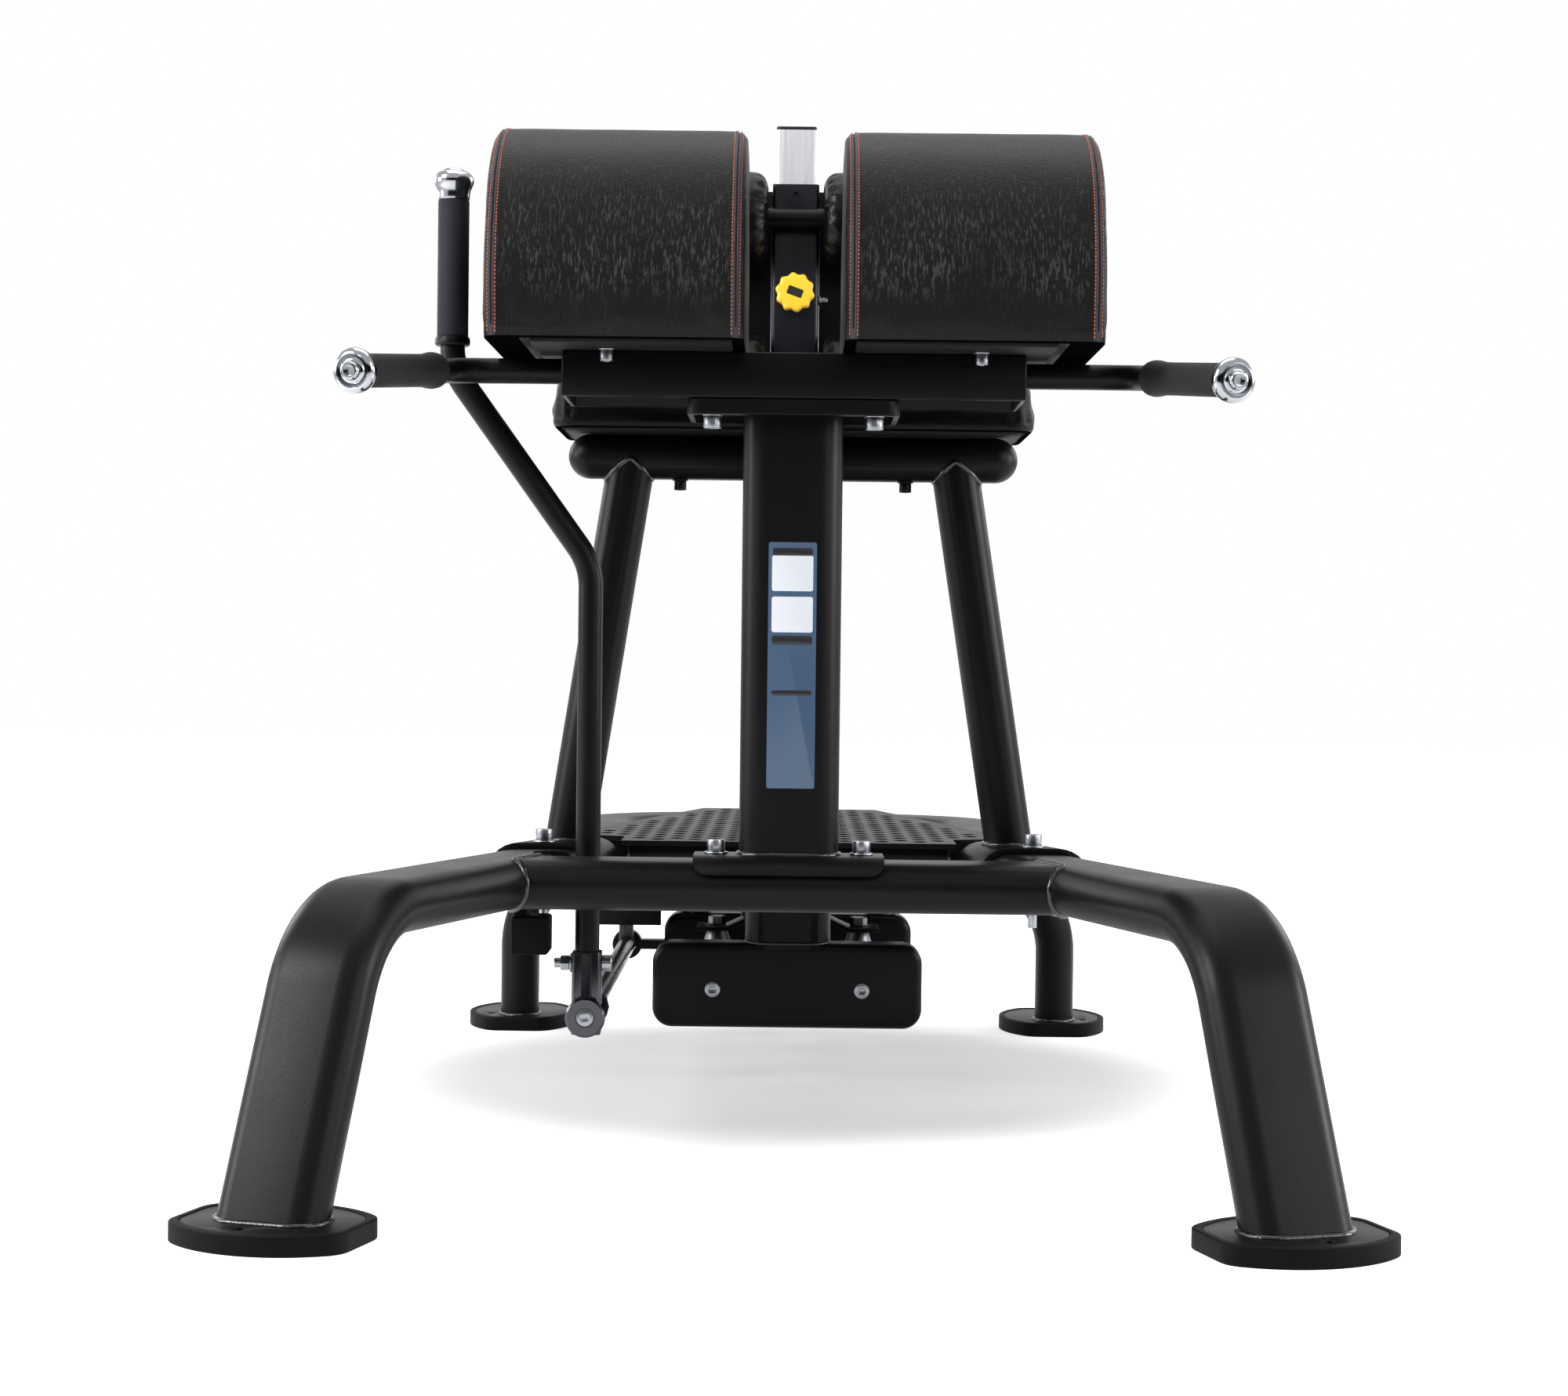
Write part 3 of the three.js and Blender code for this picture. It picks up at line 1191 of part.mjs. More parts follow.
// Pull pin and its lobed knob.
const pinFrontY = sleeveFrontY - barrelLong - knobThick / 2;
const pinRearY = postY - postWide / 2 - pullPinTipGap;
const pullPin = bar([0, 0, 0], [0, pinRearY - pinFrontY, 0], pullPinDiameter, smallSteps);
add(head, 'pull_pin', pullPin, zinc).position.set(0, pinFrontY, pinZ);
const knobPoints = knobLobes * lobeSteps;
const knobShape = new THREE.Shape(Array.from({ length: knobPoints }, (_, i) => {
  const angle = (2 * Math.PI * i) / knobPoints;
  const radius = knobDiameter / 2 - knobWave + knobWave * Math.cos(knobLobes * angle);
  return new THREE.Vector2(radius * Math.cos(angle), radius * Math.sin(angle));
}));
const knob = upright(knobShape, knobThick, knobWave, curveSteps, 1);
const [knobBoreStart, knobBoreEnd] = [knobThick / 2 - clearance, knobThick + overrun];
const knobBoreWide = boreFor(pullPinDiameter, clearance, smallSteps);
const knobBore = bar([0, knobBoreStart, 0], [0, knobBoreEnd, 0], knobBoreWide, smallSteps);
const knobRearY = sleeveFrontY - barrelLong - clearance;
add(head, 'pull_knob', cut(asSolid(knob), knobBore), yellow).position.set(0, knobRearY - knobThick, pinZ);

// Roller axles, one above and one below the pull pin, each with a roller either side.
const axleY = sleeveFrontY - clearance - axleDiameter / 2;
const axleOutline = [
  [0, -axleLong / 2],
  [axleEndDiameter / 2, -axleLong / 2],
  [axleEndDiameter / 2, axleEndLong - axleLong / 2],
  [axleDiameter / 2, axleEndLong - axleLong / 2],
  [axleDiameter / 2, axleLong / 2 - axleEndLong],
  [axleEndDiameter / 2, axleLong / 2 - axleEndLong],
  [axleEndDiameter / 2, axleLong / 2],
  [0, axleLong / 2],
];
const rollerBore = boreFor(axleDiameter, clearance, rollerSteps) / 2;
const rollerShares = [0, 1 / 2, 1];
const rollerRim = rollerShares.map((share) => {
  const angle = (Math.PI / 2) * share;
  const radius = rollerDiameter / 2 - rollerSwell - rollerRound * (1 - Math.sin(angle));
  return [radius, rollerRound * (1 - Math.cos(angle))];
});
const rollerOutline = [[rollerBore, 0], ...rollerRim, [rollerDiameter / 2, rollerLong / 2]];
rollerOutline.push(...[...rollerRim].reverse().map(([radius, height]) => [radius, rollerLong - height]));
rollerOutline.push([rollerBore, rollerLong], [rollerBore, 0]);
for (const [level, z] of [['upper', pinZ + upperAxleAbove], ['lower', pinZ - lowerAxleBelow]]) {
  const axle = add(head, `axle_${level}`, turned(axleOutline, tubeSteps).rotateZ(-Math.PI / 2), blackPaint);
  axle.position.set(0, axleY, z);
  for (const [name, side] of sides) {
    const shape = turned(rollerOutline, rollerSteps).rotateZ(-side * Math.PI / 2);
    add(head, `roller_${level}_${name}`, shape, leather).position.set(side * rollerInner, axleY, z);
  }
}

// Footplate behind the sleeve: a plate with its upright edges turned back.
const footplateY = postY + sleeveOuter / 2 + clearance;
const footplateX = footplateWide / 2;
const footplateBottom = pinZ - footplateBelow;
const tray = new THREE.Shape();
tray.moveTo(-footplateX, footplateReturn);
tray.lineTo(-footplateX, footplateThick);
tray.quadraticCurveTo(-footplateX, 0, footplateThick - footplateX, 0);
tray.lineTo(footplateX - footplateThick, 0);
tray.quadraticCurveTo(footplateX, 0, footplateX, footplateThick);
tray.lineTo(footplateX, footplateReturn);
tray.lineTo(footplateX - footplateThick, footplateReturn);
tray.lineTo(footplateX - footplateThick, footplateThick);
tray.lineTo(footplateThick - footplateX, footplateThick);
tray.lineTo(footplateThick - footplateX, footplateReturn);
const footplateHigh = sleeveTop - footplateBottom;
const trayShape = roundedRectangle(footplateWide, footplateHigh, footplateCorner);
const trayKeep = upright(trayShape, footplateReturn + 2 * overrun).translate(0, -overrun, footplateHigh / 2);
const footplate = asSolid(plate(tray, footplateHigh)).intersect(asSolid(trayKeep));
add(head, 'footplate', footplate, blackPaint).position.set(0, footplateY, footplateBottom);

// Release lever: a bent tube with a grip and a chrome cap, standing in a fitting on the torsion shaft.
const [fittingTop, leverTopX] = [shaftZ + fittingAbove, leverX - leverOut];
const leverGripBottom = leverElbowHigh + leverGripAbove;
const leverGripTop = leverGripBottom + leverGripLong;
const leverLine = bentLine([
  [leverX, leverY, fittingTop + clearance],
  [leverX, leverY, leverElbowLow],
  [leverTopX, leverY, leverElbowHigh],
  [leverTopX, leverY, leverGripTop + leverTubeEnd],
], [leverBendRadius, leverBendRadius]);
const leverAcross = new THREE.Vector3(0, 1, 0);
const leverCollarPiece = bar(
  [leverTopX, leverY, leverGripBottom - clearance - leverCollarHigh],
  [leverTopX, leverY, leverGripBottom - clearance],
  leverCollar,
);
const leverTubeSolid = joined(sweep(roundSection(leverTube), leverLine, leverAcross), leverCollarPiece);
add(lever, 'lever_tube', leverTubeSolid, blackPaint);
const leverBore = boreFor(leverTube) / 2;
const leverGripOutline = [
  [leverBore, 0],
  [gripTube / 2, 0],
  [gripTube / 2, leverGripLong],
  [leverBore, leverGripLong],
  [leverBore, 0],
];
const gripShape = turned(leverGripOutline, tubeSteps).rotateX(Math.PI / 2);
const leverGrip = add(lever, 'lever_grip', gripShape, gripRubber);
leverGrip.position.set(leverTopX, leverY, leverGripBottom);
const leverCapOutline = [
  [leverBore, 0],
  [gripTube / 2, 0],
  [leverCapDiameter / 2, leverCapHigh / 2],
  [leverCapDiameter / 2, (leverCapHigh * 3) / 4],
  [leverCapDiameter / 4, leverCapHigh],
  [0, leverCapHigh],
  [0, leverTubeEnd],
  [leverBore, leverTubeEnd],
  [leverBore, 0],
];
const leverCap = add(lever, 'lever_cap', turned(leverCapOutline, tubeSteps).rotateX(Math.PI / 2), chrome);
leverCap.position.set(leverTopX, leverY, leverGripTop + clearance);

// Torsion shaft with the lever's fitting and disc in front and the lock pin's crank at the rear.
const fittingX = fittingWide / 2;
const fittingFront = leverY - fittingDeep / 2;
const boltZ = fittingTop - clevisBoltBelow;
const fitting = box(
  [leverX - fittingX, fittingFront, shaftZ - fittingBelow],
  [leverX + fittingX, leverY + fittingDeep / 2, fittingTop],
);
const groove = box(
  [leverX - fittingGroove / 2, fittingFront - overrun, shaftZ + discDiameter / 2],
  [leverX + fittingGroove / 2, fittingFront + fittingGrooveDeep, fittingTop + overrun],
);
const boltBore = bar(
  [leverX - fittingWide, leverY, boltZ],
  [leverX + fittingWide, leverY, boltZ],
  boreFor(clevisBolt, clearance, smallSteps),
  smallSteps,
);
const disc = turned([
  [0, 0],
  [discDiameter / 2, 0],
  [discDiameter / 2, discThick - discRound],
  [discDiameter / 2 - discRound, discThick],
  [0, discThick],
], rollerSteps).rotateZ(Math.PI).translate(leverX, fittingFront, shaftZ);
const shaftRear = ringStart + ringLong + shaftEnd;
const shaft = bar([leverX, fittingFront, shaftZ], [leverX, shaftRear, shaftZ], shaftDiameter);
const crank = box(
  [leverX - crankWide / 2, lockY - crankThick / 2, shaftZ],
  [leverX + crankWide / 2, lockY + crankThick / 2, lockZ + crankSlotLong / 2 + crankEnd],
);
const crankSlotShape = roundedRectangle(crankSlot, crankSlotLong, crankSlot / 2 - clearance);
const crankSlotCut = upright(crankSlotShape, crankThick + 2 * overrun);
crankSlotCut.translate(leverX, lockY - crankThick / 2 - overrun, lockZ);
const shaftSolid = cut(joined(fitting, disc, shaft, crank), groove, boltBore, crankSlotCut);
add(lever, 'torsion_shaft', shaftSolid, zinc);

// Bolt through the fitting, with its lock nut on the left.
const nutRight = leverX - fittingX - clearance;
const headLeft = leverX + fittingX + clearance;
const boltLeft = nutRight - clevisNutLong - clevisThread;
const boltAt = (x) => [x, leverY, boltZ];
const clevis = joined(
  bar(boltAt(nutRight - clevisNutLong), boltAt(nutRight), clevisNutWide, 6),
  bar(boltAt(headLeft), boltAt(headLeft + clevisHeadLong), clevisNutWide, smallSteps),
  bar(boltAt(boltLeft), boltAt(headLeft + clevisHeadLong / 2), clevisBolt, smallSteps),
);
add(lever, 'clevis_bolt', clevis, zinc);

// Lock pin: a rod with a fork that straddles the crank, joined to it by a cross pin.
const forkX = forkWide / 2;
const forkDeep = crankThick + 2 * (forkCheek + clearance);
const fork = box(
  [leverX - forkX, lockY - forkDeep / 2, lockZ - forkHigh / 2],
  [leverX + forkX, lockY + forkDeep / 2, lockZ + forkHigh / 2],
);
const forkGap = box(
  [leverX - forkX - overrun, lockY - crankThick / 2 - clearance, lockZ - forkHigh],
  [leverX + crankWide / 2 + forkRoom, lockY + crankThick / 2 + clearance, lockZ + forkHigh],
);
const pinTip = indexLeft - lockTipGap;
const lockRod = bar([leverX + forkX - clearance, lockY, lockZ], [pinTip, lockY, lockZ], lockPinDiameter);
const crossAt = (side) => [leverX, lockY + (side * forkDeep) / 2, lockZ];
const crossPinPiece = bar(crossAt(-1), crossAt(1), crossPin, smallSteps);
add(machine, 'lock_pin', cut(joined(fork, lockRod), forkGap).add(asSolid(crossPinPiece)), zinc);

export default machine;
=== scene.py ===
# The looks of a glute ham developer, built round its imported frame.
# Sizes in the code are in millimetres, and meshes and node inputs are in metres.
# +X is to the right of a person who faces the hip pads, +Y runs to the ankle rollers, +Z is up.

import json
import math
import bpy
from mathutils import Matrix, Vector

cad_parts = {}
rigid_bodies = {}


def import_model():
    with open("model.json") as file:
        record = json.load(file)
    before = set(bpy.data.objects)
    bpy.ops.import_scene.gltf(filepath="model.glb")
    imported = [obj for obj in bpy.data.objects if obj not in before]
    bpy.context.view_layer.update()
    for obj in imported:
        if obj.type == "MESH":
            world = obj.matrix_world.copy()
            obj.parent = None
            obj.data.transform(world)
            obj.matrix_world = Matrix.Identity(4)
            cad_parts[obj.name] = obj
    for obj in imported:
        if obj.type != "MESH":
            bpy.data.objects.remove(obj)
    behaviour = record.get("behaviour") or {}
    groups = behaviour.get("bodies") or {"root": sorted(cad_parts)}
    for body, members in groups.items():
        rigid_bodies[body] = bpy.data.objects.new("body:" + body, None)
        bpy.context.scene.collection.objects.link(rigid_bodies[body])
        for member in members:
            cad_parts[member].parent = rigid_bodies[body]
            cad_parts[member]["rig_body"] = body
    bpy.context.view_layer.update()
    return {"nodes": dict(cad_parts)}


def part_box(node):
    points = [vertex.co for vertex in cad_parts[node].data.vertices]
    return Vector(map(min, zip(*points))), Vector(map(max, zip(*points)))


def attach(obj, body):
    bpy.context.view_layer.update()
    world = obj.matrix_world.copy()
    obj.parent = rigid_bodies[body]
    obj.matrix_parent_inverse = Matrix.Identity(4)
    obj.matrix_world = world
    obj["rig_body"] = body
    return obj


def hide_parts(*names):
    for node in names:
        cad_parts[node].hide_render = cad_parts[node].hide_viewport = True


bl_info = {
    "name": "Glute ham developer",
    "version": (1, 0, 0),
    "blender": (4, 5, 0),
    "location": "View3D > Sidebar > Bench",
    "description": "Builds the pads, tubes, slides, fasteners and stage of a glute ham developer",
    "category": "Object",
}

from functools import partial

import bmesh
import bpy
import numpy as np
from mathutils import Matrix, Vector, noise
from mathutils.bvhtree import BVHTree

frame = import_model()
MM = 0.001
SIDES = (("left", -1), ("right", 1))
UP, DOWN, FRONT, BACK, RIGHT = (0, 0, 1), (0, 0, -1), (0, -1, 0), (0, 1, 0), (1, 0, 0)

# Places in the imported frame
RAIL_Z = 267
RAIL_X = 236
RAIL_BOTTOM = 242
FOOT_X = 431
FOOT_Y = -691
STEEL_TOP = 17.3
HIP_Y = -246
PAD_INNER = 47.4
PAD_OUTER = 297.4
SEAM_IN = 9
KNEEL_Y = -60
NECK_Y = 215
BOW_Y = 570
BOW_START = 420
REAR_LEG_X = 356
REAR_LEG_Y = 645
SADDLE_TOP = 298.3
COLUMN_TOP = 742
CROSSBAR_Z = 709
ROD_X = 87
ROD_Z = 108
POST_Y = 440
PIN_Z = 947
AXLE_Y = 398
ROLLER_LEVELS = (("upper", 1039), ("lower", 841))
LEVER_X = -207
LEVER_Y = -172
GRIP_X = -352
CLEVIS_Z = 178
SHAFT_Z = 124
HANGER_X = 120
HANGER_Y = 547

# Gap between packed tubes, and from a tube to the outside of its saddle
FIT = 0.3
SADDLE_ROOM = 6.3

# Stock sizes
OVAL_WIDE = 100
OVAL_HIGH = 50
LEG_TUBE = 50.8
THIN_TUBE = 25.4
POST_WIDE = 50
SPLAY = math.radians(17)
LEAN = math.radians(24.7)


def length(label, text, millimetres):
    """A setting that holds a length, given here in millimetres."""
    return bpy.props.FloatProperty(
        name=label, description=text, default=millimetres * MM, unit="LENGTH", subtype="DISTANCE", precision=4
    )


def tilt(label, text, degrees):
    """A setting that holds an angle, given here in degrees."""
    angle = math.radians(degrees)
    return bpy.props.FloatProperty(name=label, description=text, default=angle, subtype="ANGLE")


def hue(label, text, code):
    """A setting that holds a colour, given here as its sRGB hex value."""
    return bpy.props.FloatVectorProperty(
        name=label, description=text, default=linear(code), size=3, subtype="COLOR", min=0, max=1
    )


def linear(code):
    """The linear colour of an sRGB hex value."""
    values = [int(code[i : i + 2], 16) / 255 for i in (1, 3, 5)]
    return tuple(v / 12.92 if v <= 0.04045 else ((v + 0.055) / 1.055) ** 2.4 for v in values)


class PaintSettings(bpy.types.PropertyGroup):
    """Finishes of the frame and its fittings."""

    paint: hue("Powder coat", "Colour of the coated steel", "#08080a")
    knob: hue("Knob", "Colour of the pull knob", "#f5c531")
    label: hue("Label", "Colour of the plate on the column", "#3f5672")
    weld_bead: length("Weld bead", "Thickness of the weld seams", 7)
    weld_pitch: length("Weld ripple", "Distance from one ripple of a weld to the next", 4.5)


class PadSettings(bpy.types.PropertyGroup):
    """Upholstery of the pads and rollers."""

    leather: hue("Leather", "Colour of the covers", "#131313")
    thread: hue("Thread", "Colour of the decorative stitching", "#a9573f")
    stitch_pitch: length("Stitch pitch", "Distance from one stitch to the next", 3.8)
    stitch_gap: length("Row distance", "Distance between the two rows of stitches", 7)
    seam_depth: length("Seam depth", "How deep a seam lies in the cover", 1.6)
    swell: length("Swell", "How far the foam may push the cover out", 6)


class StageSettings(bpy.types.PropertyGroup):
    """Camera and light."""

    lens: bpy.props.FloatProperty(
        name="Focal length", description="Focal length of the camera", default=62.4, unit="CAMERA"
    )
    distance: length("Distance", "From the camera to the machine's middle", 2975)
    height: length("Height", "Height of the camera above the floor", 495)
    pitch: tilt("Pitch", "How far the camera looks down", 0.836)
    yaw: tilt("Yaw", "How far the camera looks to the left", 0.134)
    roll: tilt("Roll", "How far the camera leans to the left", 0.653)
    lamp_level: bpy.props.FloatProperty(
        name="Lamp level", description="Share of the lamps' full power", default=1, min=0, subtype="FACTOR"
    )


# Mesh tools


def new_piece(name, points, edges=(), faces=()):
    """A new object with a mesh of the given points, in millimetres."""
    mesh = bpy.data.meshes.new(name)
    mesh.from_pydata([tuple(c * MM for c in point) for point in points], edges, faces)
    piece = bpy.data.objects.new(name, mesh)
    bpy.context.scene.collection.objects.link(piece)
    return piece


def turn_outwards(piece, merge=0.0):
    """Merges doubled points and makes all faces point outwards."""
    shell = bmesh.new()
    shell.from_mesh(piece.data)
    if merge:
        bmesh.ops.remove_doubles(shell, verts=shell.verts, dist=merge * MM)
    bmesh.ops.recalc_face_normals(shell, faces=shell.faces)
    shell.to_mesh(piece.data)
    shell.free()
    return piece


def band(lower, upper, count):
    """Faces between two rings of points, each given by the number of its first point."""
    return [(lower + i, lower + (i + 1) % count, upper + (i + 1) % count, upper + i) for i in range(count)]


def loft(name, rings):
    """Skins a row of rings of points and closes both ends."""
    count, last = len(rings[0]), (len(rings) - 1) * len(rings[0])
    faces = [tuple(range(count))]
    for start in range(0, last, count):
        faces += band(start, start + count, count)
    faces.append(tuple(range(last, last + count)))
    return turn_outwards(new_piece(name, [point for ring in rings for point in ring], (), faces))


def oval(room=0.0, steps=14):
    """Corners of the frame tube's flat oval, with some room round it."""
    radius = OVAL_HIGH / 2 + room
    straight = OVAL_WIDE / 2 + room - radius
    angles = [math.pi * (step / steps - 0.5) for step in range(steps + 1)]
    right = [(straight + radius * math.cos(a), radius * math.sin(a)) for a in angles]
    return right + [(-x, -y) for x, y in right]


def circle(diameter, steps=40):
    """Corners of a circle."""
    turns = [math.tau * step / steps for step in range(steps)]
    return [(diameter / 2 * math.cos(a), diameter / 2 * math.sin(a)) for a in turns]


def rounded(wide, high, corner, steps=8, middle=(0, 0)):
    """Corners of a rectangle whose corners are rounded."""
    places = []
    for quarter, (sx, sy) in enumerate(((1, 1), (-1, 1), (-1, -1), (1, -1))):
        for step in range(steps + 1):
            angle = math.pi / 2 * (quarter + step / steps)
            x = sx * (wide / 2 - corner) + corner * math.cos(angle)
            y = sy * (high / 2 - corner) + corner * math.sin(angle)
            places.append((middle[0] + x, middle[1] + y))
    return places


def bent_line(corners, radii=(), facet=math.radians(3)):
    """Points and directions along a line whose inner corners are rounded."""
    points = [Vector(corner) for corner in corners]
    stations = [(points[0], (points[1] - points[0]).normalized())]
    for i, radius in enumerate(radii, 1):
        before = (points[i] - points[i - 1]).normalized()
        after = (points[i + 1] - points[i]).normalized()
        turn = before.angle(after)
        inward = (after - before * math.cos(turn)).normalized()
        start = points[i] - before * (radius * math.tan(turn / 2))
        steps = max(2, math.ceil(turn / facet))
        for step in range(steps + 1):
            angle = turn * step / steps
            place = start + before * (radius * math.sin(angle)) + inward * (radius * (1 - math.cos(angle)))
            stations.append((place, before * math.cos(angle) + inward * math.sin(angle)))
    stations.append((points[-1], (points[-1] - points[-2]).normalized()))
    return stations


def ring_at(section, station, axis=None, floor=None):
    """A section at one place of a line, cut off at a floor. Its wide axis is level or fixed."""
    point, along = station
    wide = Vector(axis or (-along.y, along.x, 0)).normalized()
    high = wide.cross(along).normalized()
    ring = [point + wide * a + high * b for a, b in section]
    return ring if floor is None else [p + along * ((floor - p.z) / along.z) for p in ring]


def sweep(name, section, stations, axis=None, floor=None):
    """Sweeps a section along a line that may start at a floor."""
    first, *others = stations
    return loft(name, [ring_at(section, first, axis, floor), *(ring_at(section, s, axis) for s in others)])


def in_plane(plane, a, b, run):
    """The place of a point of an XY or XZ drawing, some way along the third axis."""
    return (a, b, run) if plane == "XY" else (a, run, b)


def extrude(name, outline, plane, start, end):
    """Runs an outline drawn in a plane from one place to another along the third axis."""
    return loft(name, [[in_plane(plane, a, b, run) for a, b in outline] for run in (start, end)])


def slab(name, wide, high, corner, middle, plane, start, end, edge, steps=5):
    """A plate or block with rounded corners whose edges are rounded too."""
    angles = [math.pi / 2 * step / steps for step in range(steps + 1)]
    plan = [(edge * (1 - math.sin(a)), start + edge * (1 - math.cos(a))) for a in angles]
    plan += [(inset, start + end - run) for inset, run in reversed(plan)]
    rings = []
    for inset, run in plan:
        outline = rounded(wide - 2 * inset, high - 2 * inset, corner - inset, 10, middle)
        rings.append([in_plane(plane, a, b, run) for a, b in outline])
    return loft(name, rings)


def block(name, low, high):
    """A box between two corners, in any order."""
    corners = [(low[0], low[1]), (high[0], low[1]), (high[0], high[1]), (low[0], high[1])]
    return extrude(name, corners, "XY", low[2], high[2])


def turned(name, outline, start, along, steps=48):
    """A turned piece. Its outline is a list of radius and height pairs, from axis to axis or closed."""
    aim = Vector(along).to_track_quat("Z", "Y").to_matrix()
    points, faces, rings = [], [], []
    for radius, height in outline:
        ring = circle(2 * radius, steps) if radius > 0 else [(0, 0)]
        rings.append(range(len(points), len(points) + len(ring)))
        points += [Vector(start) + aim @ Vector((a, b, height)) for a, b in ring]
    loops = list(zip(rings, rings[1:]))
    if len(rings[0]) > 1:
        loops.append((rings[-1], rings[0]))
    for lower, upper in loops:
        for i in range(steps):
            corners = ((lower, i), (lower, i + 1), (upper, i + 1), (upper, i))
            faces.append(tuple(dict.fromkeys(ring[k % len(ring)] for ring, k in corners)))
    return turn_outwards(new_piece(name, points, (), faces))


def rod(name, start, end, diameter, edge=0.0, steps=40):
    """A round bar with eased ends."""
    along = Vector(end) - Vector(start)
    full, less, tall = diameter / 2, diameter / 2 - edge, along.length
    outline = dict.fromkeys([(0, 0), (less, 0), (full, edge), (full, tall - edge), (less, tall), (0, tall)])
    return turned(name, outline, start, along, steps)


def rod_y(name, x, z, start, end, diameter, edge=0.0):
    """A round bar that runs from front to rear."""
    return rod(name, (x, start, z), (x, end, z), diameter, edge)


def bake(piece):
    """Turns the piece's modifiers into its mesh."""
    graph = bpy.context.evaluated_depsgraph_get()
    graph.update()
    mesh, old = bpy.data.meshes.new_from_object(piece.evaluated_get(graph)), piece.data
    piece.modifiers.clear()
    piece.data = mesh
    bpy.data.meshes.remove(old)
    return piece


def discard(*pieces):
    """Removes pieces that were only tools."""
    for piece in pieces:
        mesh = piece.data
        bpy.data.objects.remove(piece)
        bpy.data.meshes.remove(mesh)


def combined(piece, operation, others):
    """Joins pieces to a piece, or cuts them out of it."""
    for other in others:
        modifier = piece.modifiers.new("Combine", "BOOLEAN")
        modifier.operation = operation
        modifier.object = other
        modifier.solver = "EXACT"
    bake(piece)
    discard(*others)
    return piece


def joined(piece, *others):
    """The piece as one solid with the others."""
    return combined(piece, "UNION", others)


def cut(piece, *others):
    """The piece without the room that the others take."""
    return combined(piece, "DIFFERENCE", others)


def kept(piece, other):
    """The part of the piece that lies inside the other."""
    return combined(piece, "INTERSECT", (other,))


def softened(piece, edge, segments=2):
    """Rounds the piece's sharp edges."""
    modifier = piece.modifiers.new("Edge", "BEVEL")
    modifier.width = edge * MM
    modifier.segments = segments
    modifier.limit_method = "ANGLE"
    modifier.angle_limit = math.radians(30)
    return bake(piece)


def merged_into(piece, *others):
    """Puts the meshes of other pieces into a piece as they are."""
    shell = bmesh.new()
    for source in (piece, *others):
        shell.from_mesh(source.data)
    shell.to_mesh(piece.data)
    shell.free()
    discard(*others)
    return piece


def refined(name, node, edge):
    """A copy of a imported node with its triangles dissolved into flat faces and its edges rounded."""
    piece = new_piece(name, ())
    shell = bmesh.new()
    shell.from_mesh(frame["nodes"][node].data)
    bmesh.ops.remove_doubles(shell, verts=shell.verts, dist=0.01 * MM)
    bmesh.ops.dissolve_limit(shell, angle_limit=math.radians(1), verts=shell.verts, edges=shell.edges)
    shell.to_mesh(piece.data)
    shell.free()
    return softened(piece, edge)


def seat(piece, finish, body, node=None, angle=34):
    """Gives a piece its finish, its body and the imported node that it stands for.

    Edges sharper than the angle, in degrees, stay sharp.
    """
    piece.data.shade_smooth()
    piece.data.set_sharp_from_angle(angle=math.radians(angle))
    piece.data.materials.clear()
    piece.data.materials.append(FINISHES[finish])
    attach(piece, body)
    if node:
        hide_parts(node)
    return piece


def seat_for(piece, finish, node, angle=34):
    """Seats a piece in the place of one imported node."""
    return seat(piece, finish, frame["nodes"][node]["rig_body"], node, angle)


# Materials


def add_node(tree, kind, inputs=(), **settings):
    """Adds a node with its settings, values and links. A node as a value stands for its first output."""
    made = tree.nodes.new(kind)
    for name, value in settings.items():
        setattr(made, name, value)
    for name, value in dict(inputs).items():
        for source in value if isinstance(value, list) else [value]:
            if isinstance(source, bpy.types.Node):
                source = source.outputs[0]
            if isinstance(source, bpy.types.NodeSocket):
                tree.links.new(source, made.inputs[name])
            else:
                made.inputs[name].default_value = source
    return made


def material_tree(name):
    """A new material, a function that adds nodes to it, and the place on the piece."""
    material = bpy.data.materials.new(name)
    material.use_nodes = True
    tree = material.node_tree
    tree.nodes.clear()
    return material, partial(add_node, tree), add_node(tree, "ShaderNodeTexCoord").outputs["Object"]


def rgba(colour, share=1.0):
    """A share of an sRGB hex value or of a linear colour, as a socket takes it."""
    values = linear(colour) if isinstance(colour, str) else colour[:3]
    return (*(min(1, value * share) for value in values), 1)


def grained(name, dark, light, rough, grain, depth, patch=60, metal=0, specular=0.5, stretch=(1, 1, 1)):
    """A finish whose colour wanders a little and whose surface has a fine grain of a real size."""
    material, add, place = material_tree(name)
    spread = add("ShaderNodeMapping", {"Vector": place, "Scale": stretch})
    patches = add("ShaderNodeTexNoise", {"Vector": spread, "Scale": 1 / (patch * MM), "Detail": 4})
    fine = add("ShaderNodeTexNoise", {"Vector": spread, "Scale": 1 / (grain * MM), "Detail": 3})
    colour = add("ShaderNodeMix", {0: patches, 6: rgba(dark), 7: rgba(light)}, data_type="RGBA")
    sums = add("ShaderNodeMath", {0: patches, 1: fine}, operation="ADD")
    values = {
        "Base Color": colour.outputs[2],
        "Roughness": add("ShaderNodeMapRange", {0: sums, 1: 0.6, 2: 1.4, 3: rough[0], 4: rough[1]}),
        "Metallic": metal,
        "Specular IOR Level": specular,
        "Normal": add("ShaderNodeBump", {"Strength": 1, "Distance": depth * MM, "Height": fine}),
    }
    add("ShaderNodeOutputMaterial", {0: add("ShaderNodeBsdfPrincipled", values)})
    return material


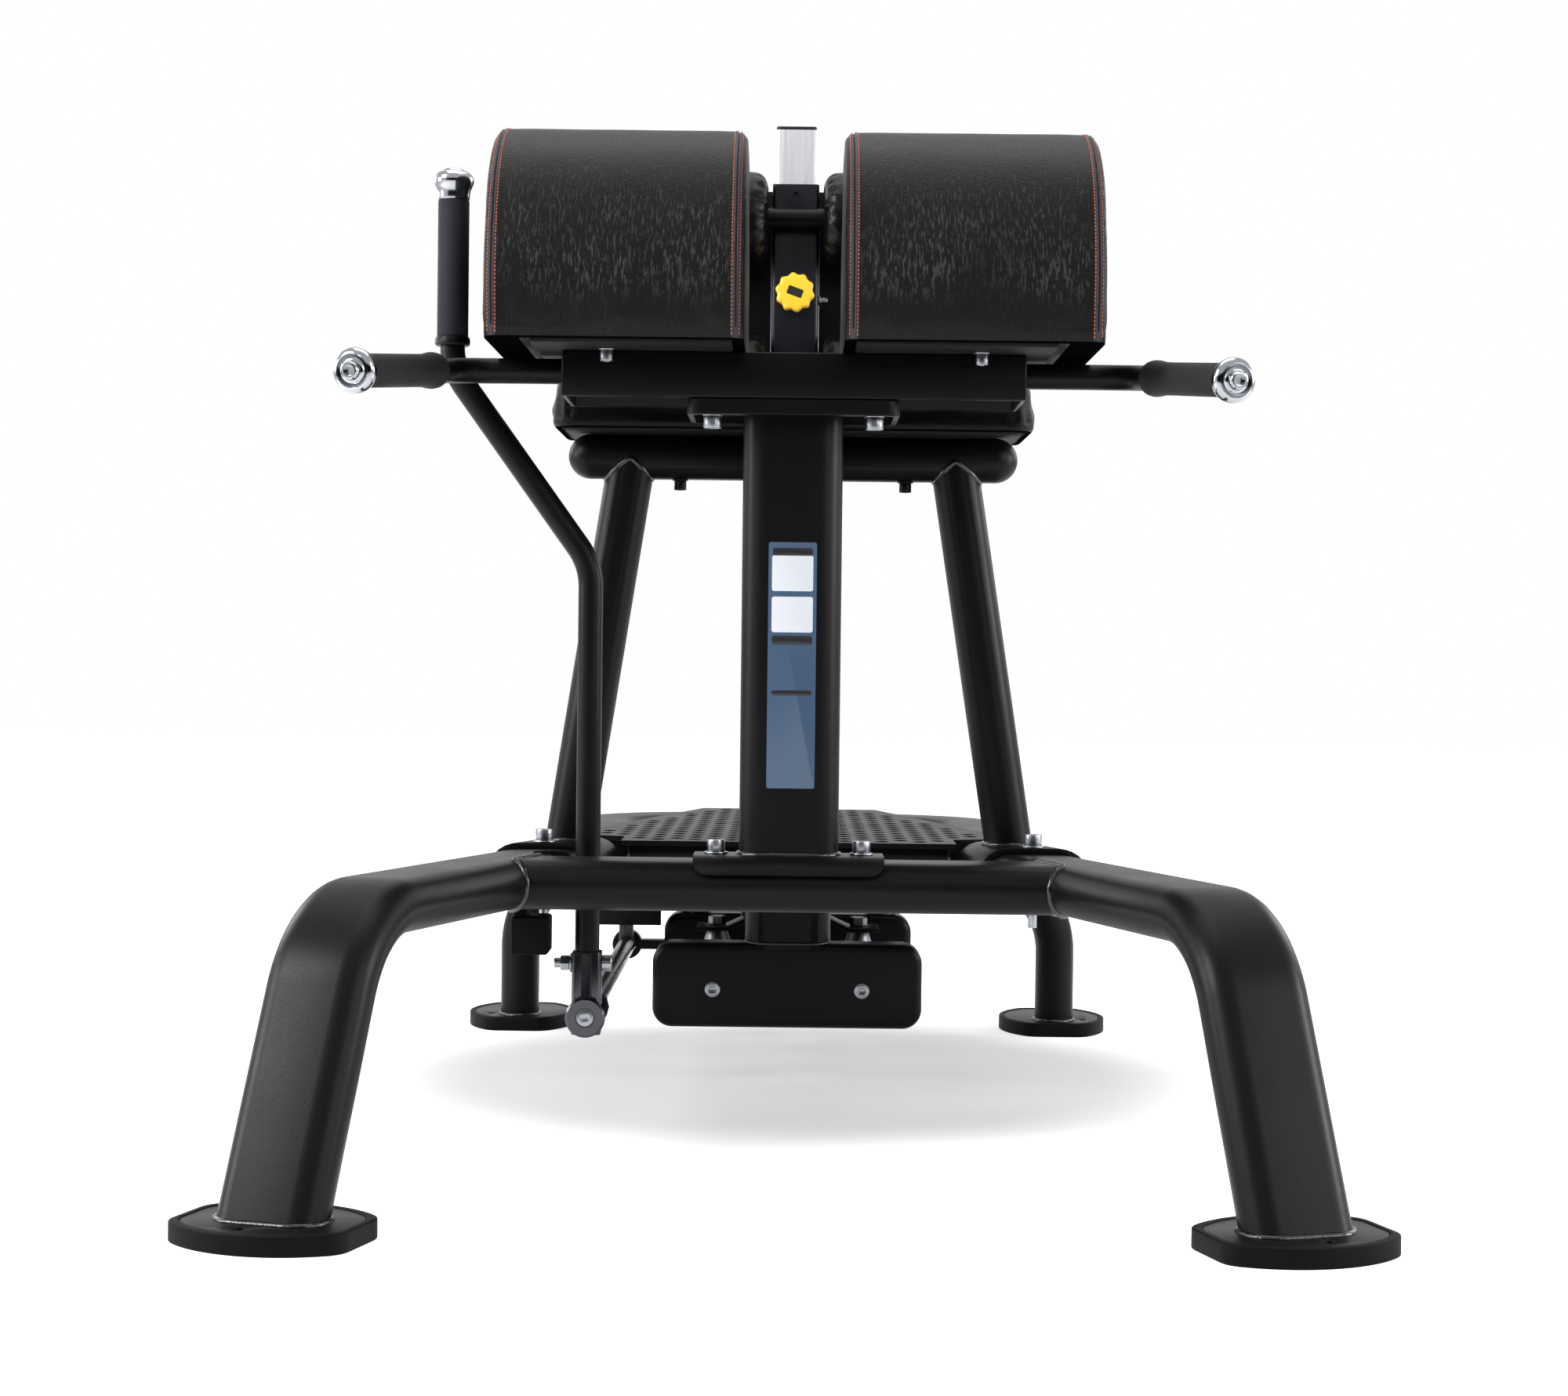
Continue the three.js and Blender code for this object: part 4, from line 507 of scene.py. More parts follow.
def leather_finish(name, colour, crease, under, shine, rough=(0.5, 0.36), welt_sheen=0.0):
    """Coated leather: fine pebbles, and creases round the roll near the height that wears most, with painted
    highlights (a pale grey) on them.

    Below the level called under, the cover is near-black and without shine: a painted shade on its underside.
    """
    material, add, place = material_tree(name)
    side, _, height = add("ShaderNodeSeparateXYZ", {"Vector": place}).outputs

    def away_from(value, centre):
        less = add("ShaderNodeMath", {0: value, 1: centre}, operation="SUBTRACT")
        return add("ShaderNodeMath", {0: less}, operation="ABSOLUTE")

    values = {"Vector": place, "Scale": 1 / (2.2 * MM)}
    pebbles = add("ShaderNodeTexVoronoi", values, feature="SMOOTH_F1")
    # Creases run up the roll, so the pattern is drawn out along its depth and height.
    drawn_out = add("ShaderNodeMapping", {"Vector": place, "Scale": (1, 0.19, 0.19)})
    values = {"Vector": drawn_out, "Scale": 1 / (2 * MM), "Detail": 2, "Roughness": 0.6}
    creases = add("ShaderNodeTexNoise", values)
    where = add("ShaderNodeTexNoise", {"Vector": place, "Scale": 1 / (70 * MM), "Detail": 2})
    zone = add("ShaderNodeMapRange", {0: where, 1: 0.36, 2: 0.6, 3: 0.2, 4: 1})
    sharp = add("ShaderNodeMapRange", {0: creases, 1: 0.54, 2: 0.66})
    # The band near 0.9 m high holds both the creases' relief and their painted highlights.
    values = {0: away_from(height, 0.9), 1: 30 * MM, 2: 75 * MM, 3: 1, 4: 0.12}
    wear_and_glint_band = add("ShaderNodeMapRange", values, interpolation_type="SMOOTHSTEP")
    patchy = add("ShaderNodeMath", {0: wear_and_glint_band, 1: zone}, operation="MULTIPLY")
    lines = add("ShaderNodeMath", {0: sharp, 1: patchy}, operation="MULTIPLY")
    relief = add("ShaderNodeMath", {0: lines, 1: crease, 2: pebbles}, operation="MULTIPLY_ADD")
    # The painted highlights on the creases lie only between the seams of the hip pads.
    off_seam = away_from(away_from(side, 0), (PAD_INNER + PAD_OUTER) / 2 * MM)
    seam = ((PAD_OUTER - PAD_INNER) / 2 - SEAM_IN) * MM
    inside = add("ShaderNodeMapRange", {0: off_seam, 1: seam - 14 * MM, 2: seam, 3: crease * 0.12, 4: 0})
    pale = add("ShaderNodeMath", {0: lines, 1: inside}, operation="MULTIPLY")
    values = {0: where, 6: rgba(colour, 0.85), 7: rgba(colour, 1.25)}
    plain = add("ShaderNodeMix", values, data_type="RGBA").outputs[2]
    # Painted highlight: the crease lines are lightened towards a pale grey, standing in for the glints they
    # catch.
    tone = add("ShaderNodeMix", {0: pale, 6: plain, 7: rgba("#5a5a57")}, data_type="RGBA").outputs[2]
    # Painted sheen: a pale grey-violet strip along each seam's welt stands in for the highlight that the
    # raised welt catches.
    if welt_sheen:
        values = {0: away_from(off_seam, seam), 1: 1.2 * MM, 2: 5.5 * MM, 3: welt_sheen, 4: 0}
        painted_welt_sheen = add("ShaderNodeMapRange", values, interpolation_type="SMOOTHSTEP")
        values = {0: painted_welt_sheen, 6: tone, 7: rgba("#77737c")}
        tone = add("ShaderNodeMix", values, data_type="RGBA").outputs[2]
    # Painted shade: below the level called under, the cover is near-black and without shine, so its underside
    # shows dark.
    cloth = add("ShaderNodeMath", {0: height, 1: under}, operation="LESS_THAN")
    backed = add("ShaderNodeMix", {0: cloth, 6: tone, 7: (0.002, 0.002, 0.002, 1)}, data_type="RGBA")
    values = {
        "Base Color": backed.outputs[2],
        "Roughness": add("ShaderNodeMapRange", {0: creases, 3: rough[0], 4: rough[1]}),
        "Specular IOR Level": add("ShaderNodeMapRange", {0: cloth, 3: shine, 4: 0}),
        "Normal": add("ShaderNodeBump", {"Strength": 1, "Distance": 0.35 * MM, "Height": relief}),
    }
    add("ShaderNodeOutputMaterial", {0: add("ShaderNodeBsdfPrincipled", values)})
    return material


FINISHES = {}


def make_finishes(paint, pads):
    """Makes every finish of the machine once."""
    coat = (paint.paint, rgba(paint.paint, 1.5))
    print_film = dict(rough=(0.3, 0.36), grain=6, depth=0.01)
    plies = rgba(pads.thread, 0.5), rgba(pads.thread, 1.2)
    streaks, ply_grain = (1, 1, 0.02), (0.2, 1, 1)
    FINISHES.update(
        # Powder coat: baked polyester on steel, satin, with a faint orange peel. The peel is really
        # about a millimetre wide and is drawn twice as coarse so that it shows.
        paint=grained("satin_powder_coat", *coat, (0.32, 0.43), 2.2, 0.08, 90, specular=0.105),
        # The step plate has the same powder in a thinner coat, a little duller from the shoes on it.
        plate=grained("trodden_powder_coat", *coat, (0.36, 0.46), 2.2, 0.05, 90, specular=0.1),
        # The powder pools on the weld beads: it is glossiest there, and the ripples glint.
        weld=grained("pooled_powder_coat", *coat, (0.16, 0.3), 3, 0.35, 6),
        # The sleeve's coat has a blue cast and a little more shine.
        sleeve=grained("blue_black_coat", "#0d0d14", "#13131c", (0.3, 0.4), 2.2, 0.06, 40, specular=0.22),
        # Coated leather cloth: soft sheen, pebbled, with creases where it is pulled round the foam. Its
        # creases carry painted highlights, its welts a painted sheen, and its underside a painted shade.
        leather=leather_finish("creased_leather", pads.leather, 2.8, 0.7995, 0.1, welt_sheen=0.24),
        # The kneeling pad has the same cover, pulled tighter, with the same painted highlights and painted
        # underside shade.
        tight_leather=leather_finish("tight_leather", rgba(pads.leather, 0.6), 0.7, 0.737, 0.1),
        # The rollers' leather is the glossiest: it is stretched thin, and rubbed by every foot.
        roller_leather=leather_finish("rubbed_leather", rgba(pads.leather, 0.25), 0.3, 0, 0.13, (0.34, 0.24)),
        # Moulded rubber: matt, dark, a little dusty.
        rubber=grained("moulded_rubber", "#040405", "#08080a", (0.5, 0.7), 1.6, 0.06, specular=0.08),
        # Foamed grip rubber: matt, with fine pores, a bluish black.
        grip=grained("foam_grip", "#1c1c24", "#26262f", (0.72, 0.9), 0.9, 0.08, 25, specular=0.2),
        # The handles' grips are of the same foam, worn to a plain dark grey.
        dark_grip=grained("worn_foam_grip", "#161617", "#1f1f20", (0.62, 0.8), 0.9, 0.08, 25, specular=0.22),
        # Black cloth of the studio's flag, which darkens what shiny faces see behind the camera.
        velvet=grained("black_velvet", "#030303", "#060606", (0.9, 1), 3, 0.5, specular=0),
        # Chrome plate: a mirror with the faintest waviness.
        chrome=grained("chrome_plate", "#8f9196", "#a4a6ab", (0.1, 0.18), 9, 0.02, metal=1),
        # Bright zinc plate: greyer than chrome and softly blurred.
        zinc=grained("zinc_plate", "#808388", "#9a9ca1", (0.24, 0.38), 3, 0.03, 8, metal=1),
        # Darker steel of the lever's fitting, nickel plated and lightly tarnished.
        nickel=grained("dull_nickel", "#3a3b3e", "#4f5054", (0.22, 0.3), 2.5, 0.008, 30, metal=1),
        # Square steel tube brushed along its length: the streaks are long and about half a millimetre
        # wide, drawn a little wider.
        brushed=grained("brushed_steel", "#bdbbc2", "#d9d7dd", (0.26, 0.42), 1.3, 0.03, 4, 1, 0.5, streaks),
        # Cast aluminium of the bearing housings.
        cast=grained("cast_aluminium", "#606266", "#7a7c80", (0.32, 0.46), 2.5, 0.12, 12, metal=1),
        # Injection moulded nylon of the knob: even colour, half gloss.
        knob=grained("moulded_nylon", rgba(paint.knob, 0.93), paint.knob, (0.32, 0.42), 2, 0.02, 15),
        # Black moulded plastic of the post's cap and the knob's plate.
        plastic=grained("black_plastic", "#0e0e10", "#17171a", (0.4, 0.52), 1.8, 0.04, specular=0.35),
        # Painted plywood under the pads, with the vinyl folded over it.
        board=grained("painted_board", "#0e0e0d", "#151413", (0.6, 0.75), 2.4, 0.08, 60, 0, 0.15, ply_grain),
        # Polyester thread, three plies twisted.
        thread=grained("twisted_thread", *plies, (0.45, 0.6), 0.8, 0.15, 5),
        # Vinyl plate on the column, under a clear film and left without print. It carries pale panels
        # and black strips.
        label=grained("vinyl_plate", rgba(paint.label, 0.85), paint.label, **print_film),
        panel=grained("vinyl_panel", "#d3d7df", "#dfe2e8", **print_film),
        strip=grained("vinyl_strip", "#131518", "#1b1e22", **print_film),
    )


# Geometry Nodes

SOCKETS = {float: "NodeSocketFloat", int: "NodeSocketInt"}
EMPTY_SOCKETS = {"Material": "NodeSocketMaterial", "Places": "NodeSocketObject"}


def nodes_group(name, **sockets):
    """A new tree for a Nodes modifier, a function that adds nodes to it, and its named inputs."""
    group = bpy.data.node_groups.new(name, "GeometryNodeTree")
    group.interface.new_socket(name="Geometry", in_out="INPUT", socket_type="NodeSocketGeometry")
    for label, value in (*sockets.items(), ("Material", None)):
        kind = EMPTY_SOCKETS[label] if value is None else SOCKETS[type(value)]
        socket = group.interface.new_socket(name=label, in_out="INPUT", socket_type=kind)
        if value is not None:
            socket.default_value = value
    group.interface.new_socket(name="Geometry", in_out="OUTPUT", socket_type="NodeSocketGeometry")
    return group, partial(add_node, group), group.nodes.new("NodeGroupInput").outputs


def grow(piece, group, **values):
    """Runs a tree on a piece with the given inputs and keeps the result as its mesh."""
    modifier = piece.modifiers.new("Grow", "NODES")
    modifier.node_group = group
    for socket in group.interface.items_tree:
        if socket.in_out == "INPUT" and socket.name.lower() in values:
            modifier[socket.identifier] = values[socket.name.lower()]
    return bake(piece)


def close_group(group, add, inputs, geometry):
    """Ends a tree in real geometry with a material on it."""
    real = add("GeometryNodeRealizeInstances", {0: geometry})
    painted = add("GeometryNodeSetMaterial", {"Geometry": real, "Material": inputs["Material"]})
    add("NodeGroupOutput", {0: painted})
    return group


def bead_group():
    """Weld seams: a rippled bead along every line of the mesh."""
    group, add, inputs = nodes_group("Weld bead", Bead=0.0045, Ripple=0.0045, Seed=3.0)
    curve = add("GeometryNodeMeshToCurve", {0: inputs["Geometry"]})
    quarter = add("ShaderNodeMath", {0: inputs["Ripple"], 1: 4}, operation="DIVIDE")
    even = add("GeometryNodeResampleCurve", {"Curve": curve, "Length": quarter}, mode="LENGTH")
    run = add("GeometryNodeSplineParameter").outputs["Length"]
    turns = add("ShaderNodeMath", {0: run, 1: inputs["Ripple"]}, operation="DIVIDE")
    angle = add("ShaderNodeMath", {0: turns, 1: math.tau}, operation="MULTIPLY")
    wave = add("ShaderNodeMath", {0: angle}, operation="SINE")
    values = {"W": inputs["Seed"], "Scale": 160, "Detail": 1}
    uneven = add("ShaderNodeTexNoise", values, noise_dimensions="4D")
    swelling = add("ShaderNodeMath", {0: wave, 1: 0.16, 2: 0.5}, operation="MULTIPLY_ADD")
    share = add("ShaderNodeMath", {0: swelling, 1: uneven}, operation="ADD")
    thick = add("GeometryNodeSetCurveRadius", {"Curve": even, "Radius": share})
    half = add("ShaderNodeMath", {0: inputs["Bead"], 1: 2}, operation="DIVIDE")
    ring = add("GeometryNodeCurvePrimitiveCircle", {"Resolution": 8, "Radius": half})
    values = {"Curve": thick, "Profile Curve": ring, "Fill Caps": True}
    return close_group(group, add, inputs, add("GeometryNodeCurveToMesh", values))


def stitch_group():
    """Stitches: one short thread after another along every line of the mesh."""
    group, add, inputs = nodes_group("Stitches", Pitch=0.0038, Thread=0.0013)
    curve = add("GeometryNodeMeshToCurve", {0: inputs["Geometry"]})
    values = {"Curve": curve, "Length": inputs["Pitch"]}
    even = add("GeometryNodeResampleCurve", values, mode="LENGTH")
    ball = add("GeometryNodeMeshUVSphere", {"Segments": 7, "Rings": 5, "Radius": 0.5})
    long = add("ShaderNodeMath", {0: inputs["Pitch"], 1: 0.82}, operation="MULTIPLY")
    size = add("ShaderNodeCombineXYZ", {"X": inputs["Thread"], "Y": inputs["Thread"], "Z": long})
    along = add("GeometryNodeInputTangent")
    aim = add("FunctionNodeAlignRotationToVector", {"Vector": along}, axis="Z")
    values = {"Points": even, "Instance": ball, "Rotation": aim, "Scale": size}
    return close_group(group, add, inputs, add("GeometryNodeInstanceOnPoints", values))


def aimed(add, points, instance):
    """An instance at every point, its +Z turned into the point's own direction."""
    aim = add("GeometryNodeInputNamedAttribute", {"Name": "aim"}, data_type="FLOAT_VECTOR")
    turn = add("FunctionNodeAlignRotationToVector", {"Vector": aim}, axis="Z")
    values = {"Points": points, "Instance": instance, "Rotation": turn}
    return add("GeometryNodeInstanceOnPoints", values)


def disc(add, wide, tall, sides, lift=None):
    """A flat cylinder that stands at a height, or whose middle is at zero."""
    half = add("ShaderNodeMath", {0: wide, 1: 2}, operation="DIVIDE")
    shape = add("GeometryNodeMeshCylinder", {"Vertices": sides, "Radius": half, "Depth": tall})
    if lift is None:
        return shape
    middle = add("ShaderNodeMath", {0: tall, 1: 0.5, 2: lift}, operation="MULTIPLY_ADD")
    shift = add("ShaderNodeCombineXYZ", {"Z": middle})
    return add("GeometryNodeTransform", {"Geometry": shape, "Translation": shift})


def screw_group():
    """Socket screws: a round head with a six sided socket on a washer, at every point of the mesh."""
    group, add, inputs = nodes_group(
        "Socket screw", Head=0.018, High=0.012, Socket=0.010, Deep=0.006, Washer=0.024, Thick=0.002, Sides=32
    )
    head = disc(add, inputs["Head"], inputs["High"], inputs["Sides"], inputs["Thick"])
    top = add("ShaderNodeMath", {0: inputs["High"], 1: inputs["Thick"]}, operation="ADD")
    floor = add("ShaderNodeMath", {0: top, 1: inputs["Deep"]}, operation="SUBTRACT")
    socket = disc(add, inputs["Socket"], inputs["High"], 6, floor)
    hollow = add("GeometryNodeMeshBoolean", {"Mesh 1": head, "Mesh 2": socket}, operation="DIFFERENCE")
    washer = disc(add, inputs["Washer"], inputs["Thick"], inputs["Sides"], 0)
    whole = add("GeometryNodeJoinGeometry", {0: [hollow, washer]})
    return close_group(group, add, inputs, aimed(add, inputs["Geometry"], whole))


def hole_group():
    """Perforations: bores at every point of another mesh, cut out of this one."""
    group, add, inputs = nodes_group("Holes", Places=None, Wide=0.014, Deep=0.02, Sides=24)
    places = add("GeometryNodeObjectInfo", {0: inputs["Places"]}, transform_space="ORIGINAL")
    drill = disc(add, inputs["Wide"], inputs["Deep"], inputs["Sides"])
    drills = aimed(add, places.outputs["Geometry"], drill)
    solid = add("GeometryNodeRealizeInstances", {0: drills})
    values = {"Mesh 1": inputs["Geometry"], "Mesh 2": solid}
    bored_mesh = add("GeometryNodeMeshBoolean", values, operation="DIFFERENCE")
    return close_group(group, add, inputs, bored_mesh)


def sheet_group():
    """Perforated sheet: closed lines filled and thickened, with a six sided slot at every point of a mesh."""
    sizes = dict(Wide=0.014, Long=0.023, Thick=0.0055, Level=0.0)
    group, add, inputs = nodes_group("Perforated sheet", Places=None, **sizes)
    edge = add("GeometryNodeMeshToCurve", {0: inputs["Geometry"]})
    places = add("GeometryNodeObjectInfo", {0: inputs["Places"]}, transform_space="ORIGINAL")
    ring = add("GeometryNodeCurvePrimitiveCircle", {"Resolution": 6, "Radius": 0.5})
    size = add("ShaderNodeCombineXYZ", {"X": inputs["Long"], "Y": inputs["Wide"], "Z": 1})
    values = {"Points": places.outputs["Geometry"], "Instance": ring, "Scale": size}
    slots = add("GeometryNodeInstanceOnPoints", {**values, "Rotation": (0, 0, math.pi / 2)})
    real = add("GeometryNodeRealizeInstances", {0: slots})
    lines = add("GeometryNodeJoinGeometry", {0: [edge, real]})
    sheet = add("GeometryNodeFillCurve", {0: lines}, mode="TRIANGLES")
    rise = add("ShaderNodeCombineXYZ", {"Z": inputs["Thick"]})
    values = {"Mesh": sheet, "Offset": rise, "Offset Scale": 1, "Individual": False}
    thick = add("GeometryNodeExtrudeMesh", values, mode="FACES")
    under = add("GeometryNodeFlipFaces", {0: sheet})
    whole = add("GeometryNodeJoinGeometry", {0: [thick, under]})
    lift = add("ShaderNodeCombineXYZ", {"Z": inputs["Level"]})
    lifted = add("GeometryNodeTransform", {"Geometry": whole, "Translation": lift})
    return close_group(group, add, inputs, lifted)


GROUPS = {}


def points_mesh(name, places):
    """A mesh of loose points, each with the direction that its screw or bore looks in."""
    piece = new_piece(name, [place for place, _ in places])
    aim = piece.data.attributes.new("aim", "FLOAT_VECTOR", "POINT")
    aim.data.foreach_set("vector", np.array([way for _, way in places], np.float32).ravel())
    return piece


def lines_mesh(name, lines, closed):
    """A mesh of lines through the given points."""
    points, edges = [], []
    for line in lines:
        start = len(points)
        points += line
        edges += [(start + i, start + i + 1) for i in range(len(line) - 1)]
        if closed:
            edges.append((start + len(line) - 1, start))
    return new_piece(name, points, edges)


def bored(piece, places, wide, deep, sides):
    """Cuts a set of like holes out of a piece."""
    spots = points_mesh("hole_places", places)
    grow(piece, GROUPS["holes"], places=spots, wide=wide * MM, deep=deep * MM, sides=sides)
    discard(spots)


def pair(x, y, z, way):
    """A place and its mirror image, both with the same direction."""
    return [((side * x, y, z), way) for _, side in SIDES]


def screws(name, places, finish="zinc", body="frame", sides=32, **sizes):
    """A set of like socket screws on one body. Sizes that aren't given are those of an M12 screw."""
    values = dict(head=18, high=12, socket=10, deep=6, washer=24, thick=2) | sizes
    piece = points_mesh(name, places)
    grow(piece, GROUPS["screws"], sides=sides, **{key: value * MM for key, value in values.items()})
    return seat(softened(piece, 0.7), finish, body)


def welds(name, lines, bead=None, body="frame", closed=True):
    """Weld beads along lines, painted over with the frame."""
    piece = lines_mesh(name, lines, closed)
    paint = bpy.context.scene.bench_paint
    bead = bead * MM if bead else paint.weld_bead
    grow(piece, GROUPS["beads"], bead=bead, ripple=paint.weld_pitch, seed=float(len(lines)))
    return seat(piece, "weld", body, angle=60)


def landing(points, direction, target):
    """Where lines from the given points first meet a piece, in millimetres."""
    tree = BVHTree.FromObject(target, bpy.context.evaluated_depsgraph_get())
    met = [tree.ray_cast(Vector(point) * MM, Vector(direction).normalized())[0] for point in points]
    return [tuple(place / MM) for place in met if place is not None]


# Frame


def side_line(side):
    """The bent centre line of a side tube, from its foot to where the bow takes over."""
    lean = (RAIL_Z - STEEL_TOP) * math.tan(LEAN)
    splay = (FOOT_X - RAIL_X) / math.sin(SPLAY)
    corners = []
    for run, z in ((0, STEEL_TOP), (lean, RAIL_Z), (splay, RAIL_Z)):
        corners.append((side * (FOOT_X - run * math.sin(SPLAY)), FOOT_Y + run * math.cos(SPLAY), z))
    return bent_line([*corners, (side * RAIL_X, BOW_START, RAIL_Z)], [115, 250])


def side_space(side, room, name="space"):
    """The space of a side tube with some room round it, to fit other pieces to it."""
    return sweep(name, oval(room), side_line(side), floor=STEEL_TOP - 4)


def foot_outline(inset):
    """The plan of a foot: flat at both ends and bowed between them."""
    half, flat, rise, corner = 82.5 - inset, 35 - inset, 35, 12
    radius = (half * half + rise * rise) / (2 * rise)
    centre = 70 - inset - radius
    reach = math.asin(half / radius) - corner / radius
    ease = (radius * math.sin(reach), centre + radius * math.cos(reach))
    quarter = []
    for share in (step / 6 for step in range(6)):
        a, b, c = (1 - share) ** 2, 2 * share * (1 - share), share * share
        quarter.append(((a + b) * half + c * ease[0], a * (flat - corner) + b * flat + c * ease[1]))
    angles = [reach * (1 - step / 22) for step in range(23)]
    quarter += [(radius * math.sin(a), centre + radius * math.cos(a)) for a in angles]
    upper = quarter + [(-x, y) for x, y in reversed(quarter[:-1])]
    return upper + [(-x, -y) for x, y in upper]


def foot_pieces(x, y, turn, hole_at, leg, cup_node):
    """The steel plate welded to a leg, and the rubber cup round it."""
    place = Matrix.Translation(Vector((x, y, 0)) * MM) @ Matrix.Rotation(turn, 4, "Z")
    steel = extrude("steel", foot_outline(7.3), "XY", 9.3, STEEL_TOP)
    softened(cut(steel, rod("hole", (*hole_at, 0), (*hole_at, 30), 11)), 0.8)
    cup = extrude("rubber_" + cup_node, foot_outline(0), "XY", 0, 18)
    softened(cut(cup, extrude("recess", foot_outline(7), "XY", 9, 30)), 1.6, 3)
    for piece in (steel, cup):
        piece.data.transform(place)
    seat_for(cup, "rubber", cup_node)
    return merged_into(leg, steel)


def frame_tubes():
    """Side tubes, bow, cross tubes and rear legs, with their feet and weld seams."""
    lines = []
    for name, side in SIDES:
        tube = side_space(side, 0, f"{name}_side")
        lines.append(ring_at(oval(), side_line(side)[0], floor=STEEL_TOP))
        if side < 0:
            # The release lever passes through a notch in the left tube.
            cut(tube, block("notch", (-263, -190, 200), (-181.6, -154, 320)))
        foot_pieces(side * FOOT_X, FOOT_Y, side * SPLAY, (side * 8, -45), tube, f"foot_front_{name}")
        seat_for(tube, "paint", f"{name}_side_tube")
    corners = [(-RAIL_X, BOW_START + FIT), (-RAIL_X, BOW_Y), (RAIL_X, BOW_Y), (RAIL_X, BOW_START + FIT)]
    bow = sweep("bow_tube", oval(), bent_line([(*corner, RAIL_Z) for corner in corners], [130, 130]))
    seat_for(bow, "paint", "rear_bow")
    for place, y, reach in (("front", HIP_Y, 296), ("middle", NECK_Y, RAIL_X)):
        stations = [(Vector((x, y, RAIL_Z)), Vector(RIGHT)) for x in (-reach, 0, reach)]
        tube = sweep(f"{place}_cross_member", oval(), stations)
        cut(tube, side_space(-1, FIT), side_space(1, FIT))
        seat_for(tube, "paint", f"{place}_cross_tube")
        ring = [(0, y + a, RAIL_Z + b) for a, b in oval()]
        lines += [landing(ring, (side, 0, 0), bpy.data.objects[f"{name}_side"]) for name, side in SIDES]
    for name, side in SIDES:
        x, top = side * REAR_LEG_X, RAIL_BOTTOM - FIT - LEG_TUBE / 2
        corners = [(x, REAR_LEG_Y, STEEL_TOP - 4), (x, REAR_LEG_Y, top), (side * 170, BOW_Y + 5, top)]
        across = (REAR_LEG_Y - BOW_Y - 5, side * (170 - REAR_LEG_X), 0)
        leg = sweep(f"{name}_rear_tube", circle(LEG_TUBE, 48), bent_line(corners, [108]), across)
        foot_pieces(x, REAR_LEG_Y + 35.5, math.pi / 2, (-35.5, -side * 38), leg, f"foot_rear_{name}")
        seat_for(leg, "paint", f"rear_leg_{name}")
        lines.append([(x + a, REAR_LEG_Y + b, STEEL_TOP) for a, b in circle(LEG_TUBE, 48)])
    welds("frame_welds", lines)


def column():
    """Column with its saddle and top flange, and the screws that hold it."""
    line = bent_line([(0, HIP_Y, SADDLE_TOP - 3), (0, HIP_Y, COLUMN_TOP + 4)])
    body = sweep("hip_column", oval(), line, RIGHT)

    def over(half, room):
        return sweep("over", oval(room, 20), bent_line([(-half, HIP_Y, RAIL_Z), (half, HIP_Y, RAIL_Z)]))

    saddle, reach = over(95, SADDLE_ROOM), 61
    outline = rounded(190, 36, 15, middle=(0, SADDLE_TOP))
    kept(saddle, extrude("keep", outline, "XZ", HIP_Y - reach, HIP_Y + reach))
    softened(cut(saddle, over(190, FIT)), 0.9)
    flange = slab("flange", 210, 116, 14, (0, HIP_Y), "XY", COLUMN_TOP - 8, COLUMN_TOP + 8, 1.5)
    cut(flange, slab("fold", 198, 104, 9, (0, HIP_Y), "XY", COLUMN_TOP - 20, COLUMN_TOP + 1, 1))
    seat_for(merged_into(body, saddle, flange), "paint", "column")
    welds("column_welds", [[(a, HIP_Y + b, z) for a, b in oval()] for z in (SADDLE_TOP, COLUMN_TOP)])
    screw = screws("column_screws", pair(73, HIP_Y, SADDLE_TOP, UP))
    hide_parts("column_screw_left", "column_screw_right")
    screws("flange_screws", pair(80, HIP_Y - 36, COLUMN_TOP + 1, DOWN), washer=20, thick=9)


def a_frame():
    """A frame: two leaning legs and a crossbar with domed ends, on saddles over the rails."""
    radius, half = 24.15, 240.3
    angles = np.linspace(0.2, math.pi / 2, 8)
    outline = [(0, -half), *((radius * math.sin(a), -half + radius * (1 - math.cos(a))) for a in angles)]
    outline += [(r, -h) for r, h in reversed(outline)]
    bar = turned("kneeling_frame", outline, (0, KNEEL_Y, CROSSBAR_Z), RIGHT)
    legs, lines = [], []
    for _, side in SIDES:
        bottom = Vector((side * RAIL_X, KNEEL_Y, SADDLE_TOP - 3))
        top = Vector((side * 172, KNEEL_Y, CROSSBAR_Z))
        legs.append(rod("leg", bottom, top, LEG_TUBE, steps=56))
        along = (top - bottom).normalized()
        lines.append(ring_at(circle(LEG_TUBE, 48), (bottom, along), BACK, SADDLE_TOP))
        inner = ring_at(circle(2 * radius - 0.6, 72), (bottom + along * 300, along), BACK)
        lines.append(landing(inner, along, bar))
    joined(bar, *legs)
    for _, side in SIDES:
        low = (side * 120, KNEEL_Y - 64, SADDLE_TOP - 18)
        high = (side * 420, KNEEL_Y + 40, SADDLE_TOP + 5)
        strip = kept(side_space(side, SADDLE_ROOM), block("keep", low, high))
        merged_into(bar, softened(cut(strip, side_space(side, FIT)), 0.9))
    seat_for(bar, "paint", "a_frame")
    welds("a_frame_welds", lines)
    heads = pair(258, KNEEL_Y - 50, SADDLE_TOP, UP) + pair(236, KNEEL_Y + 33, SADDLE_TOP, UP)
    screws("saddle_screws", heads)
    nuts = pair(258, KNEEL_Y - 50, RAIL_BOTTOM - FIT, DOWN)
    screws("saddle_nuts", nuts, head=17, high=11, socket=8, deep=3, washer=22, sides=6)
    screws("saddle_studs", nuts, head=9, high=26, socket=4, deep=0.5, washer=10)
    bolts = pair(120.5, KNEEL_Y, CROSSBAR_Z - radius + 1, DOWN)
    screws("crossbar_screws", bolts, "paint", head=13, high=10, socket=7, washer=17)


# Pads

HIP_WIDEST = 861.1
HIP_STEPS = 96


